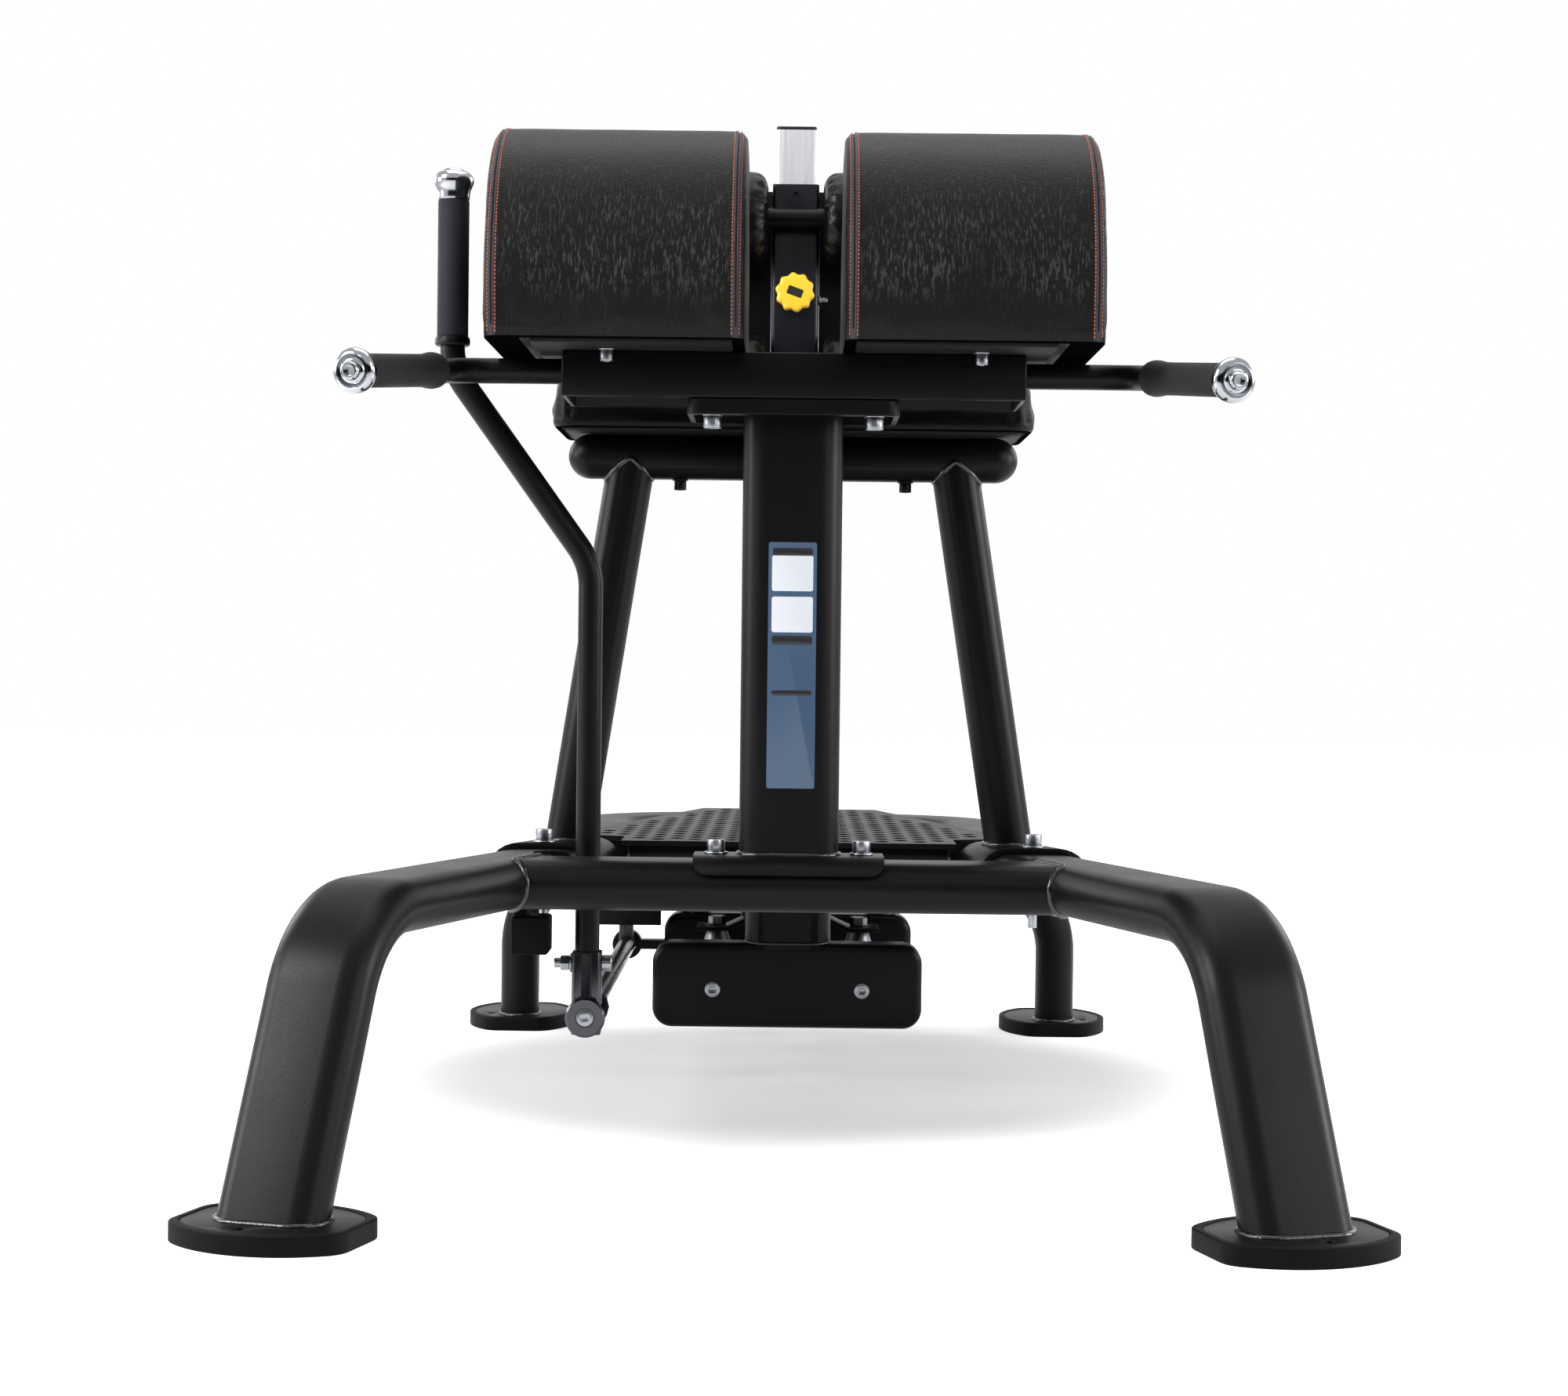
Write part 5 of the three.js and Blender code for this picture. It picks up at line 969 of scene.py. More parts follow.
def hip_ring(x, shrink):
    """The outline of a hip pad at one place: a roll above its widest line, folded round the board below."""
    base, fold, room, board_start, board_end = 806.4, 798, 129, 56, 258
    half, flat, high = 150 - shrink, 137 - shrink, 160.9 - shrink
    angles = [math.pi * step / HIP_STEPS for step in range(HIP_STEPS + 1)]
    ring = [(x, HIP_Y + half * math.cos(a), HIP_WIDEST + high * math.sin(a)) for a in angles]
    under = HIP_STEPS // 6
    curve = []
    for angle in (math.pi / 2 * step / under for step in range(1, under + 1)):
        out = flat + (half - flat) * math.cos(angle) ** 0.7
        curve.append((out, HIP_WIDEST - (HIP_WIDEST - fold) * math.sin(angle) ** 0.8))
    roof = base if board_start < x < board_end else fold
    curve += [(room + 0.6, fold), (room, roof), (room * 0.6, roof), (room * 0.2, roof)]
    ring += [(x, HIP_Y - out, z) for out, z in curve]
    return ring + [(x, HIP_Y + out, z) for out, z in reversed(curve)]


def hip_skin(name):
    """The closed cover of the right hip pad, slightly slack, with close rows of points at its seams."""
    side = [(2, 60), (1, 34), (0.6, 20)]
    for inset in (0.6, 1.6, 2.8, 4, 5.2, 6.4, 7.6, 8.3, 9, 9.7, 10.4, 11.8, 13.6, 15.6):
        share = max(0.0, 1 - (inset - 0.6) / 11)
        side.append((inset, 2.4 + 8 * share**2.2))
    side += [(17.5, 2.4), (20, 2.3), (25, 2.2), (32, 2), (42, 2), (54, 2), (68, 2), (84, 2), (103, 2)]
    rings = [hip_ring(PAD_INNER + inset, shrink) for inset, shrink in side]
    rings.append(hip_ring((PAD_INNER + PAD_OUTER) / 2, 2))
    return loft(name, rings + [hip_ring(PAD_OUTER - inset, shrink) for inset, shrink in reversed(side)])


def places_of(piece):
    """The piece's points as the rows of an array, in metres."""
    flat = np.zeros(len(piece.data.vertices) * 3)
    piece.data.vertices.foreach_get("co", flat)
    return flat.reshape(-1, 3)


def inflated(piece, held, pressure, most):
    """Presses the cover outwards with cloth, holding the given points, and limits how far any point goes."""
    rest = places_of(piece)
    piece.vertex_groups.new(name="held").add(held, 1, "REPLACE")
    cloth = piece.modifiers.new("Cover", "CLOTH")
    settings = dict(
        quality=6, mass=0.4, tension_stiffness=25, compression_stiffness=20, shear_stiffness=8,
        bending_stiffness=2, use_pressure=True, uniform_pressure_force=pressure, vertex_group_mass="held",
    )
    for name, value in settings.items():
        setattr(cloth.settings, name, value)
    cloth.settings.effector_weights.gravity = 0
    cloth.point_cache.frame_start, cloth.point_cache.frame_end = 1, 20
    for number in range(1, 21):
        bpy.context.scene.frame_set(number)
    bake(piece)
    bpy.context.scene.frame_set(1)
    piece.vertex_groups.clear()
    step = places_of(piece) - rest
    far = np.maximum(np.linalg.norm(step, axis=1, keepdims=True), 1e-9)
    piece.data.vertices.foreach_set("co", (rest + step * np.minimum(1, most / far)).ravel())


def subdivided(piece):
    """Splits every face of a soft piece once, for a smoother form."""
    modifier = piece.modifiers.new("Smooth", "SUBSURF")
    modifier.levels = modifier.render_levels = 1
    return bake(piece)


def reshaped(piece, shift):
    """Moves every point of a piece by what a function of its place and normal says, in millimetres."""
    normals = [Vector(vertex.normal) for vertex in piece.data.vertices]
    for vertex, normal in zip(piece.data.vertices, normals):
        vertex.co = vertex.co + Vector(shift(vertex.co / MM, normal)) * MM
    piece.data.update()


def near(value, centre, width):
    """1 at the centre, falling to 0 away from it."""
    return math.exp(-(((value - centre) / width) ** 2))


def share_of(value):
    """The value, kept from 0 to 1."""
    return max(0.0, min(1.0, value))


def hip_pads():
    """Hip pads: cloth covers pulled in at two seams each, with two rows of stitches at each seam."""
    pads = bpy.context.scene.bench_pads
    depth, half_gap = pads.seam_depth / MM, pads.stitch_gap / MM / 2
    seams, tucked = (PAD_INNER + SEAM_IN, PAD_OUTER - SEAM_IN), 809
    cover = hip_skin("hip_cover_right")
    held = []
    for vertex in cover.data.vertices:
        x, _, z = vertex.co / MM
        edge = min(x - PAD_INNER, PAD_OUTER - x)
        if abs(edge - SEAM_IN) < 0.3 or 1.2 < edge < 1.8 or z < tucked + 6:
            held.append(vertex.index)
    inflated(cover, held, 5, pads.swell)
    subdivided(cover)

    def detail(place, normal):
        if place.z < tucked:
            return (0, 0, 0)
        move = 0.0
        for seam in seams:
            move -= depth * near(place.x, seam, 0.9)
            for shift in (-1.7, 1.7):
                move += 0.9 * near(place.x, seam + shift, 1) - 0.5 * near(place.x, seam + 2 * shift, 0.9)
        low = share_of((place.z - tucked) / 10) * max(0.0, 1 - (place.z - tucked + 3) / 45)
        move += low * 2.4 * noise.noise(Vector((place.x * 0.06, place.y * 0.05, place.z * 0.02)))
        return normal * (move + 0.5 * noise.noise(place * 0.018))

    reshaped(cover, detail)
    turn_outwards(cover)
    other = cover.copy()
    other.data = cover.data.copy()
    other.name = "hip_cover_left"
    bpy.context.scene.collection.objects.link(other)
    other.data.transform(Matrix.Scale(-1, 4, RIGHT))
    turn_outwards(other)
    for (name, side), piece in zip(SIDES, (other, cover)):
        tree = BVHTree.FromObject(piece, bpy.context.evaluated_depsgraph_get())
        rows = [seam_row(tree, side * (seam + shift)) for seam in seams for shift in (-half_gap, half_gap)]
        stitches = lines_mesh(f"stitches_{name}", rows, False)
        grow(stitches, GROUPS["stitches"], pitch=pads.stitch_pitch, thread=1.5 * MM)
        seat(stitches, "thread", "frame", angle=180)
        seat_for(piece, "leather", f"hip_pad_{name}", 180)
        seat_for(refined(f"pad_board_{name}", f"hip_board_{name}", 2), "board", f"hip_board_{name}")


def seam_row(tree, x):
    """A line over a hip pad at one place across it, on the surface."""
    row = []
    centre = Vector((x, HIP_Y, 861))
    for angle in (math.radians(-22 + 224 * step / 180) for step in range(181)):
        outward = Vector((0, math.cos(angle), math.sin(angle)))
        place, normal, _, _ = tree.ray_cast((centre + outward * 260) * MM, -outward)
        if place is not None:
            row.append(place / MM + normal * 0.35)
    return row


def kneeling_pad():
    """Kneeling pad: a cloth cover with gathered corners, on its board."""
    low, high = (np.array(v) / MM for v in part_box("kneeling_pad"))
    middle = (low + high) / 2
    wide, deep, tall = high - low
    crown, edge = 6, 14
    outline = rounded(wide, deep, 24)
    base = []
    for (x0, y0), (x1, y1) in zip(outline, outline[1:] + outline[:1]):
        parts = max(1, round(math.hypot(x1 - x0, y1 - y0) / 9))
        base += [(x0 + (x1 - x0) * i / parts, y0 + (y1 - y0) * i / parts) for i in range(parts)]
    # How far each ring lies inside the box, and its height above the pad's underside
    plan = [(10.5, 0.4), (10.5, -4), (9.5, -8), (6, -9), (2.6, -6), *((1.5, z) for z in (0, 8, 14, 20, 27))]
    for angle in (0.3, 0.7, 1.1, 1.5):
        plan.append((1.5 + edge * (1 - math.cos(angle)), tall - crown - edge * (1 - math.sin(angle))))
    plan += [(26, tall - 4), (38, tall - 2.6), (52, tall - 2), (70, tall - 1.5), (84, tall - 1.5)]
    rings = []
    for inset, z in plan:
        less = (1 - 2 * inset / wide, 1 - 2 * inset / deep)
        rings.append([(middle[0] + x * less[0], middle[1] + y * less[1], low[2] + z) for x, y in base])
    cover = loft("kneeling_cover", rings)
    inflated(cover, [v.index for v in cover.data.vertices if v.co.z / MM < low[2] + 5], 4, 3 * MM)
    subdivided(cover)

    def detail(place, normal):
        if place.z < low[2] + 1:
            return (0, 0, 0)
        out_x = abs(place.x - middle[0]) - (wide / 2 - 34)
        out_y = abs(place.y - middle[1]) - (deep / 2 - 34)
        corner = share_of(out_x / 30) * share_of(out_y / 30)
        lower = share_of((high[2] - 12 - place.z) / 30)
        angle = math.atan2(out_y + 1e-6, out_x + 1e-6)
        puckers = math.sin(angle * 14 + 2 * noise.noise(place * 0.05)) * 1.5
        waves = noise.noise(Vector((place.x * 0.025, place.y * 0.025, place.z * 0.07))) * 1.1
        return normal * (corner * lower * puckers + waves * (0.35 + lower) - 0.5 * corner)

    reshaped(cover, detail)
    seat_for(cover, "tight_leather", "kneeling_pad", 180)
    seat_for(refined("kneeling_base", "kneeling_board", 2), "board", "kneeling_board")


def roller_cover(name, side, level):
    """One ankle roller: a foam roll in leather that is gathered at both ends round the axle."""
    outer, bore, start, long, corner, around = 58.5, 13.4, 34, 182, 20, 96
    seed = side + level * 0.01
    angles = np.linspace(0, math.pi / 2, 9)
    edge = [(outer - 1.5 - corner * (1 - math.sin(a)), corner * (1 - math.cos(a))) for a in angles]
    half = [(bore, 1.4), (bore + 5, 0.7), (bore + 11, 0.5), (bore + 17, 0.6), *edge]
    half += [(outer - 0.7, 32), (outer - 0.2, 50), (outer, 70)]
    outline = [*half, (outer, long / 2), *((radius, long - height) for radius, height in reversed(half))]
    points, faces = [], []
    for radius, height in outline:
        gathered = near(min(height, long - height), 3, 11)
        for angle in (math.tau * i / around for i in range(around)):
            folds = math.sin(19 * angle + seed + 1.5 * math.sin(3 * angle + seed))
            spot = Vector((math.cos(angle) * 3, math.sin(angle) * 3, height * 0.05 + seed * 7))
            wrinkle = noise.noise(spot)
            out = radius + gathered * (2.1 * folds + 1.6 * wrinkle) * min(1, (radius - bore) / 20)
            out = min(out + 0.5 * wrinkle * (1 - gathered), outer)
            shift = gathered * 1.3 * max(0, folds) * min(1, (radius - bore) / 14)
            x = side * (start + height + (shift if height < long / 2 else -shift))
            points.append((x, AXLE_Y + out * math.cos(angle), level + out * math.sin(angle)))
    for ring in range(len(outline)):
        faces += band(ring * around, (ring + 1) % len(outline) * around, around)
    return turn_outwards(new_piece(name, points, (), faces))


def rollers():
    """Ankle rollers on their axles."""
    half, radius, end = 223, THIN_TUBE / 2, 19
    outline = [(0, -half), (end - 1, -half), (end, 1 - half), (end, 4 - half), (radius, 4 - half)]
    outline += [(r, -h) for r, h in reversed(outline)]
    for level, z in ROLLER_LEVELS:
        for name, side in SIDES:
            piece = subdivided(roller_cover(f"roll_cover_{level}_{name}", side, z))
            seat_for(piece, "roller_leather", f"roller_{level}_{name}", 180)
        seat_for(turned(f"roller_axle_{level}", outline, (0, AXLE_Y, z), RIGHT), "paint", f"axle_{level}")


# Handles


def handles():
    """Bent handle tubes with foam grips and chrome end caps."""
    z, bend_x, spread, ahead, drop, bore = 780, 336, 67, 209, 23, 13
    grip = [(bore, -162), (16, -162), (17.6, -161), (18, -157), (17.9, -152), (17.2, -146), (16.2, -139)]
    grip += [(16, -120), (16, -60), (16, -2), (15.4, -0.4), (bore, -0.4)]
    cap = [(0, 0.3), (16.5, 0.3), (19, 1), (20.3, 3), (21.2, 5.4), (21.5, 8), (21.1, 10.4), (20, 12.6)]
    cap += [(18, 14.3), (16.3, 15), (15.6, 14.6), (15.2, 13.4), (14, 12.4), (12.8, 13.2), (12, 14.8)]
    cap += [(10.8, 15.8), (9.4, 16.1), (9, 17.6), (8.4, 19.6), (7.4, 20.6), (5.2, 21), (4.6, 20.8)]
    cap += [(4.4, 18.2), (0, 17.8)]
    for name, side in SIDES:
        start, bend = (side * 228.3, HIP_Y, z), (side * bend_x, HIP_Y, z)
        end = Vector((side * (bend_x + spread), HIP_Y - ahead, z - drop))
        outward = (end - Vector(bend)).normalized()
        across = Vector((side, 0, 0)).cross(outward).normalized()
        tube = sweep(f"hand_tube_{name}", circle(THIN_TUBE, 36), bent_line([start, bend, end], [48]), across)
        seat_for(tube, "paint", f"handle_tube_{name}")
        seat_for(turned(f"hand_grip_{name}", grip, end, outward, 44), "dark_grip", f"handle_grip_{name}")
        seat_for(turned(f"hand_cap_{name}", cap, end, outward, 56), "chrome", f"handle_cap_{name}")


# Step plate


def step_plate():
    """The perforated step plate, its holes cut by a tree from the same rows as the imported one's."""
    front_y, rear_y, slot_x, slot_front, slot_rear, slot_gap = -63, 585, 30, 304, 519.7, 9
    outline = [(180, front_y), (180, 8), (235, 28), (225, 135), (112, rear_y)]
    edge = [(x, y, 0) for x, y in outline + [(-x, y) for x, y in reversed(outline)]]
    slot = [(-slot_x, slot_front, 0), (slot_x, slot_front, 0)]
    slot += [(slot_x, slot_rear, 0), (-slot_x, slot_rear, 0)]
    plate = lines_mesh("step_sheet", [edge, slot], True)
    pitch_x, pitch_y, wide, long, gap = 20.3, 38.4, 14, 23, 10

    def half(y):
        for (x0, y0), (x1, y1) in zip(outline, outline[1:]):
            if y <= y1:
                return x0 + (x1 - x0) * (y - y0) / (y1 - y0)
        return 0

    places = []
    for number in range(-11, 12):
        for row in range(18):
            x, y = number * pitch_x, front_y + (row + (0.75 if number % 2 else 0.25)) * pitch_y
            front, back, reach = y - long / 2 - gap, y + long / 2 + gap, abs(x) + wide / 2 + gap
            inside = front > front_y and back < rear_y and reach < half(front) and reach < half(back)
            beside = abs(x) > slot_x + slot_gap + wide / 2
            if inside and (beside or back < slot_front - slot_gap or front > slot_rear + slot_gap):
                places.append(((x, y, 0), UP))
    spots = points_mesh("slots", places)
    sizes = dict(wide=2 * wide / math.sqrt(3) * MM, long=long * MM, thick=5.5 * MM, level=292.3 * MM)
    grow(plate, GROUPS["sheet"], places=spots, **sizes)
    discard(spots)
    seat_for(turn_outwards(plate, 0.01), "plate", "step_plate", 20)


# Slide unit


def slide_unit():
    """Slide blocks, guide rods, bearings, carriage, index bar and lock bracket."""
    front = slab("front_block", 315, 99, 23, (0, 112.5), "XZ", 190, 240, 9, 8)
    neck = sweep("neck", oval(), bent_line([(0, NECK_Y, 155), (0, NECK_Y, RAIL_Z)]), RIGHT)
    cut(neck, sweep("room", oval(FIT), bent_line([(-260, NECK_Y, RAIL_Z), (260, NECK_Y, RAIL_Z)])))
    cut(joined(front, neck), *(rod_y("bore", side * ROD_X, ROD_Z, 180, 196, 18.8) for _, side in SIDES))
    seat_for(front, "paint", "front_slide_block")
    rear = slab("rear_block", 318, 103, 23, (0, 114.5), "XZ", 519, 569, 9, 8)
    places = [(side * HANGER_X, HANGER_Y) for _, side in SIDES]
    hangers = [rod("hanger", (*place, 160), (*place, RAIL_BOTTOM - FIT), 38) for place in places]
    ring = rod_y("ring", LEVER_X, SHAFT_Z, 524, 544, 38, 1.5)
    joined(rear, *hangers, ring, block("arm", (LEVER_X, 524, SHAFT_Z - 6), (-154, 544, SHAFT_Z + 6)))
    cut(rear, rod_y("bore", LEVER_X, SHAFT_Z, 500, 560, 22.8))
    seat_for(rear, "paint", "rear_slide_block")
    boss = [(0, 124), (20, 124), (20, 138), (19, 140), (12.6, 158), (12, 160), (5, 160), (5, 171), (0, 171)]
    for name, side in SIDES:
        x, y = side * ROD_X, 378
        seat_for(rod_y(f"slide_rod_{name}", x, ROD_Z, 240.3, 518.7, 25, 1), "chrome", f"guide_rod_{name}")
        outline = rounded(50, 58, 14, middle=(x, ROD_Z + 1))
        housing = softened(extrude(f"slide_bearing_{name}", outline, "XZ", y - 32, y + 32), 1.5, 3)
        nut = rod("nut", (x, y, 165.6), (x, y, 176.6), 22, 1, 6)
        joined(housing, turned("boss", boss, (x, y, 0), UP), nut)
        seat_for(cut(housing, rod_y("bore", x, ROD_Z, 330, 430, 25.8)), "cast", f"bearing_{name}")
    screw = screws("rod_screws", pair(ROD_X, 196, ROD_Z, FRONT), high=7.6, socket=9, washer=18, thick=1)
    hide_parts("rod_screw_left", "rod_screw_right")
    for name, node, edge, finish in (
        ("carriage_beam", "carriage_frame", 1.2, "paint"),
        ("index_rail", "index_bar", 0.6, "zinc"),
        ("lock_mount", "lock_bracket", 0.8, "paint"),
        ("shaft_mount", "shaft_hanger", 0.8, "paint"),
        ("stop_pad", "lever_stop", 1.2, "rubber"),
    ):
        seat_for(refined(name, node, edge), finish, node)
    seams = [[(a, NECK_Y + b, 162) for a, b in oval()]]
    seams += [[(x + a, y + b, 166) for a, b in circle(38)] for x, y in places]
    welds("slide_welds", seams, 4)
    bolts = [((LEVER_X + shift, 515, 237.7), DOWN) for shift in (-18, 22)]
    screws("lock_screws", bolts, head=10, high=5, socket=5, deep=3, washer=12, thick=1)


# Post, sleeve and footplate


def square(name, wide, corner, start, end, steps=4):
    """A square bar on the post's axis."""
    return extrude(name, rounded(wide, wide, corner, steps, (0, POST_Y)), "XY", start, end)


def post():
    """The square post, its cap, and the sleeve with its pull pin and footplate."""
    tube = cut(square("square_post", POST_WIDE, 4, 212.3, 1152.7, 6), square("hollow", 44, 2, 200, 1160))
    bored(tube, [((0, POST_Y - 25, PIN_Z + 25 * step), BACK) for step in range(-4, 3)], 12.6, 20, 28)
    seat_for(softened(tube, 0.4), "brushed", "post")
    cap = softened(square("post_end_cap", POST_WIDE, 4, 1153, 1157, 6), 1.4, 3)
    seat_for(joined(cap, square("plug", 43.4, 2, 1141, 1154.5)), "plastic", "post_cap")
    sleeve = cut(square("post_sleeve", 58, 4.5, 775, 1084.7, 6), square("hollow", 51, 2, 760, 1100))
    joined(softened(sleeve, 1.1, 3), rod_y("barrel", 0, PIN_Z, 396, 412, 18, 1))
    cut(sleeve, rod_y("bore", 0, PIN_Z, 380, POST_Y, 10.8))
    bored(sleeve, [((0, 411, 1071), BACK)], 7, 6, 24)
    seat_for(sleeve, "sleeve", "sleeve")
    seat_for(rod_y("draw_pin", 0, PIN_Z, 388, 414.5, 10, 1), "zinc", "pull_pin")
    knob()
    seat_for(refined("foot_board", "footplate", 0.9), "paint", "footplate")
    seams = [[(side * 29, 469.2, 800 + 14 * step) for step in range(20)] for _, side in SIDES]
    welds("sleeve_welds", seams, 4, "leg_holder", False)
    sizes = dict(head=8, high=8, socket=4, deep=2, washer=12, thick=4)
    screws("sleeve_screw", [((29, 430, 943), RIGHT)], body="leg_holder", **sizes)


def knob():
    """The lobed pull knob with a bare plate in its face."""
    lobes, wave, radius, first = 10, 1.3, 24.4, math.radians(97)
    rings, profile = [], [(379.7, 6), (379.9, 3.2), (380.6, 1.6), (382, 0.5), (384, 0), (392, 0)]
    profile += [(394, 0.8), (395.4, 2.4)]
    for y, inset in profile:
        ring = []
        for angle in (math.tau * step / 160 for step in range(160)):
            out = radius - wave + wave * math.cos(lobes * (angle - first)) - inset
            ring.append((out * math.cos(angle), y, PIN_Z + out * math.sin(angle)))
        rings.append(ring)
    seat_for(cut(loft("knob_lobed", rings), rod_y("bore", 0, PIN_Z, 388, 400, 10.8)), "knob", "pull_knob")
    plate = extrude("knob_plate", rounded(19, 10.5, 1, 4), "XZ", 379.3, 380)
    plate.data.transform(Matrix.Translation((0, 0, PIN_Z * MM)) @ Matrix.Rotation(math.radians(20), 4, "Y"))
    seat(plate, "plastic", "pull_pin")


# Lever


def lever():
    """The release lever with its grip and cap, the torsion shaft and the lock pin."""
    x, y = LEVER_X, LEVER_Y
    corners = [(x, y, 191), (x, y, 589), (GRIP_X, y, 790), (GRIP_X, y, 972)]
    tube = sweep("lever_bar", circle(THIN_TUBE, 36), bent_line(corners, [70, 70]), BACK)
    collar = [(0, 812.7), (16.6, 812.7), (18, 814.5), (18, 819.5), (17, 821.7), (0, 821.7)]
    seat_for(joined(tube, turned("collar", collar, (GRIP_X, y, 0), UP)), "paint", "lever_tube")
    grip = [(13, 0), (15.5, 0), (16, 0.8), (16, 139), (15.5, 139.8), (13, 139.8)]
    seat_for(turned("lever_foam", grip, (GRIP_X, y, 822), UP), "grip", "lever_grip")
    cap = [(0, 10.2), (12.9, 10.2), (12.9, 0.4), (15.8, 0.4), (16.2, 1.2), (16.4, 5), (16.9, 9), (18.4, 13)]
    cap += [(20, 16.6), (20.5, 19.6), (20.4, 22.6), (19.4, 25.4), (16.5, 28.3), (13.6, 29.6), (11.6, 30)]
    cap += [(10.8, 31.2), (9.4, 32.3), (6, 32.7), (0, 32.7)]
    seat_for(turned("lever_knob", cap, (GRIP_X, y, 962), UP, 56), "chrome", "lever_cap")
    fitting = extrude("lever_fitting", rounded(30, 27, 4, 6, (x, y)), "XY", 105, 190.7)
    softened(cut(fitting, block("groove", (x - 4.5, y - 20, 144.5), (x + 4.5, y - 6.5, 200))), 0.8)
    profile = [(0, -9.5), (9.5, -9.5), (10, -10), (18.5, -10), (20.5, -8), (20.5, 0), (0, 0)]
    face = turned("disc", profile, (x, y - 13.5, SHAFT_Z), BACK, 56)
    shaft = rod_y("shaft", x, SHAFT_Z, y - 13, 548, 22, 1)
    crank = extrude("crank", rounded(18, 88, 8.9, 10, (x, 155.5)), "XZ", 503, 511)
    cut(crank, extrude("slot", rounded(9, 20, 4.4, 8, (x, 185)), "XZ", 498, 516))
    joined(fitting, face, shaft, softened(crank, 0.7))

    def across(name, start, end, diameter, edge=0.0, steps=40):
        return rod(name, (x + start, y, CLEVIS_Z), (x + end, y, CLEVIS_Z), diameter, edge, steps)

    seat_for(cut(fitting, across("bore", -30, 30, 10.8)), "nickel", "torsion_shaft")
    sizes = dict(head=15, high=2.6, socket=7, deep=1.8, washer=17, thick=0.5)
    screws("disc_screw", [((x, y - 23, SHAFT_Z), FRONT)], body="lever", **sizes)
    bolt = across("clevis_pin", -34, 20, 10, 1)
    nut, washer = across("nut", -27.3, -17.5, 17, 1, 6), across("washer", -17.3, -15.4, 20, 0.4)
    profile = [(0, 0), (7.8, 0), (8.5, 0.8), (8.5, 9.6), (7.4, 10.7), (0, 10.7)]
    head = turned("head", profile, (x + 15.3, y, CLEVIS_Z), RIGHT)
    seat_for(joined(bolt, nut, washer, head), "zinc", "clevis_bolt")
    seat_for(refined("lock_bolt", "lock_pin", 0.5), "zinc", "lock_pin")


def bracket():
    """The pad bracket with its screws up into the pad boards."""
    piece = refined("pad_channel", "pad_bracket", 1.6)
    ends = []
    for x in (-226, 226):
        ends.append(block("end", (x - 1.6, HIP_Y - 58, 752), (x + 1.6, HIP_Y + 58, 793)))
    seat_for(joined(piece, *ends), "paint", "pad_bracket")
    heads = pair(183, HIP_Y - 73, 795.3, DOWN)
    screws("board_screws", heads, head=13, high=11, socket=8, washer=17, thick=1.5)


def label():
    """The plate on the column's front, with bare panels and strips and no print."""
    face = HIP_Y - OVAL_HIGH / 2
    for name, finish, wide, high, z, thick in (
        ("plate", "label", 48, 245, 488, 0.4),
        ("panel_0", "panel", 41, 35.5, 579.6, 0.62),
        ("panel_1", "panel", 41, 35.5, 538.6, 0.62),
        ("strip_0", "strip", 40, 8, 601, 0.62),
        ("strip_1", "strip", 40, 9, 513, 0.62),
        ("strip_2", "strip", 40, 5.4, 460.5, 0.62),
    ):
        outline = rounded(wide, high, 2.2, 4, (0.9, z))
        piece = softened(extrude(f"label_{name}", outline, "XZ", face - thick, face + 0.5), 0.12)
        seat(piece, finish, "frame")


# Stage


def stage():
    """Camera, floor, lamps and world."""
    setting = bpy.context.scene.bench_stage
    scene = bpy.context.scene
    scene.view_settings.view_transform = "Standard"
    data = bpy.data.cameras.new("camera")
    data.lens = setting.lens
    data.sensor_width = 36
    data.clip_end = 100
    camera = bpy.data.objects.new("camera", data)
    turn = Matrix.Rotation(setting.yaw, 4, "Z") @ Matrix.Rotation(math.pi / 2 - setting.pitch, 4, "X")
    turn = turn @ Matrix.Rotation(setting.roll, 4, "Z")
    camera.matrix_world = Matrix.Translation((0, -setting.distance, setting.height)) @ turn
    scene.collection.objects.link(camera)
    scene.camera = camera

    reach, half, y, low, high = 14000, 3000, -3500, 50, 1500
    corners = [(-reach, -reach, 0), (reach, -reach, 0), (reach, reach, 0), (-reach, reach, 0)]
    floor = new_piece("floor", corners, (), [(0, 1, 2, 3)])
    floor.data.materials.append(floor_finish())
    corners = [(-half, y, low), (half, y, low), (half, y, high), (-half, y, high)]
    flag = new_piece("flag", corners, (), [(0, 1, 2, 3)])
    flag.data.materials.append(FINISHES["velvet"])
    flag.visible_camera = False

    lamps = (
        # name, place and aim in metres, size in metres, power in watts
        ("key", (-2.7, -1.7, 2.3), (0, 0, 0.5), 1.3, 130),
        ("fill", (2.5, -2.3, 1.7), (0, 0, 0.5), 1.6, 34),
        ("top", (0, 0.2, 3.4), (0, 0, 0), 2.6, 52),
        ("side_left", (-2.9, -0.4, 1.1), (0, 0, 0.5), 0.9, 42),
        ("side_right", (2.9, -0.4, 1.1), (0, 0, 0.5), 0.9, 52),
        ("rim_left", (-2.4, 1.8, 1.6), (0, 0.2, 0.5), 1.2, 24),
        ("rim_right", (2.4, 1.8, 1.6), (0, 0.2, 0.5), 1.2, 20),
    )
    for name, place, aim, size, power in lamps:
        lamp = bpy.data.lights.new(name, "AREA")
        lamp.shape = "SQUARE"
        lamp.size = size
        lamp.energy = power * setting.lamp_level
        holder = bpy.data.objects.new(name, lamp)
        way = Vector(aim) - Vector(place)
        holder.matrix_world = Matrix.Translation(place) @ way.to_track_quat("-Z", "Y").to_matrix().to_4x4()
        scene.collection.objects.link(holder)
    scene.world = world_light()


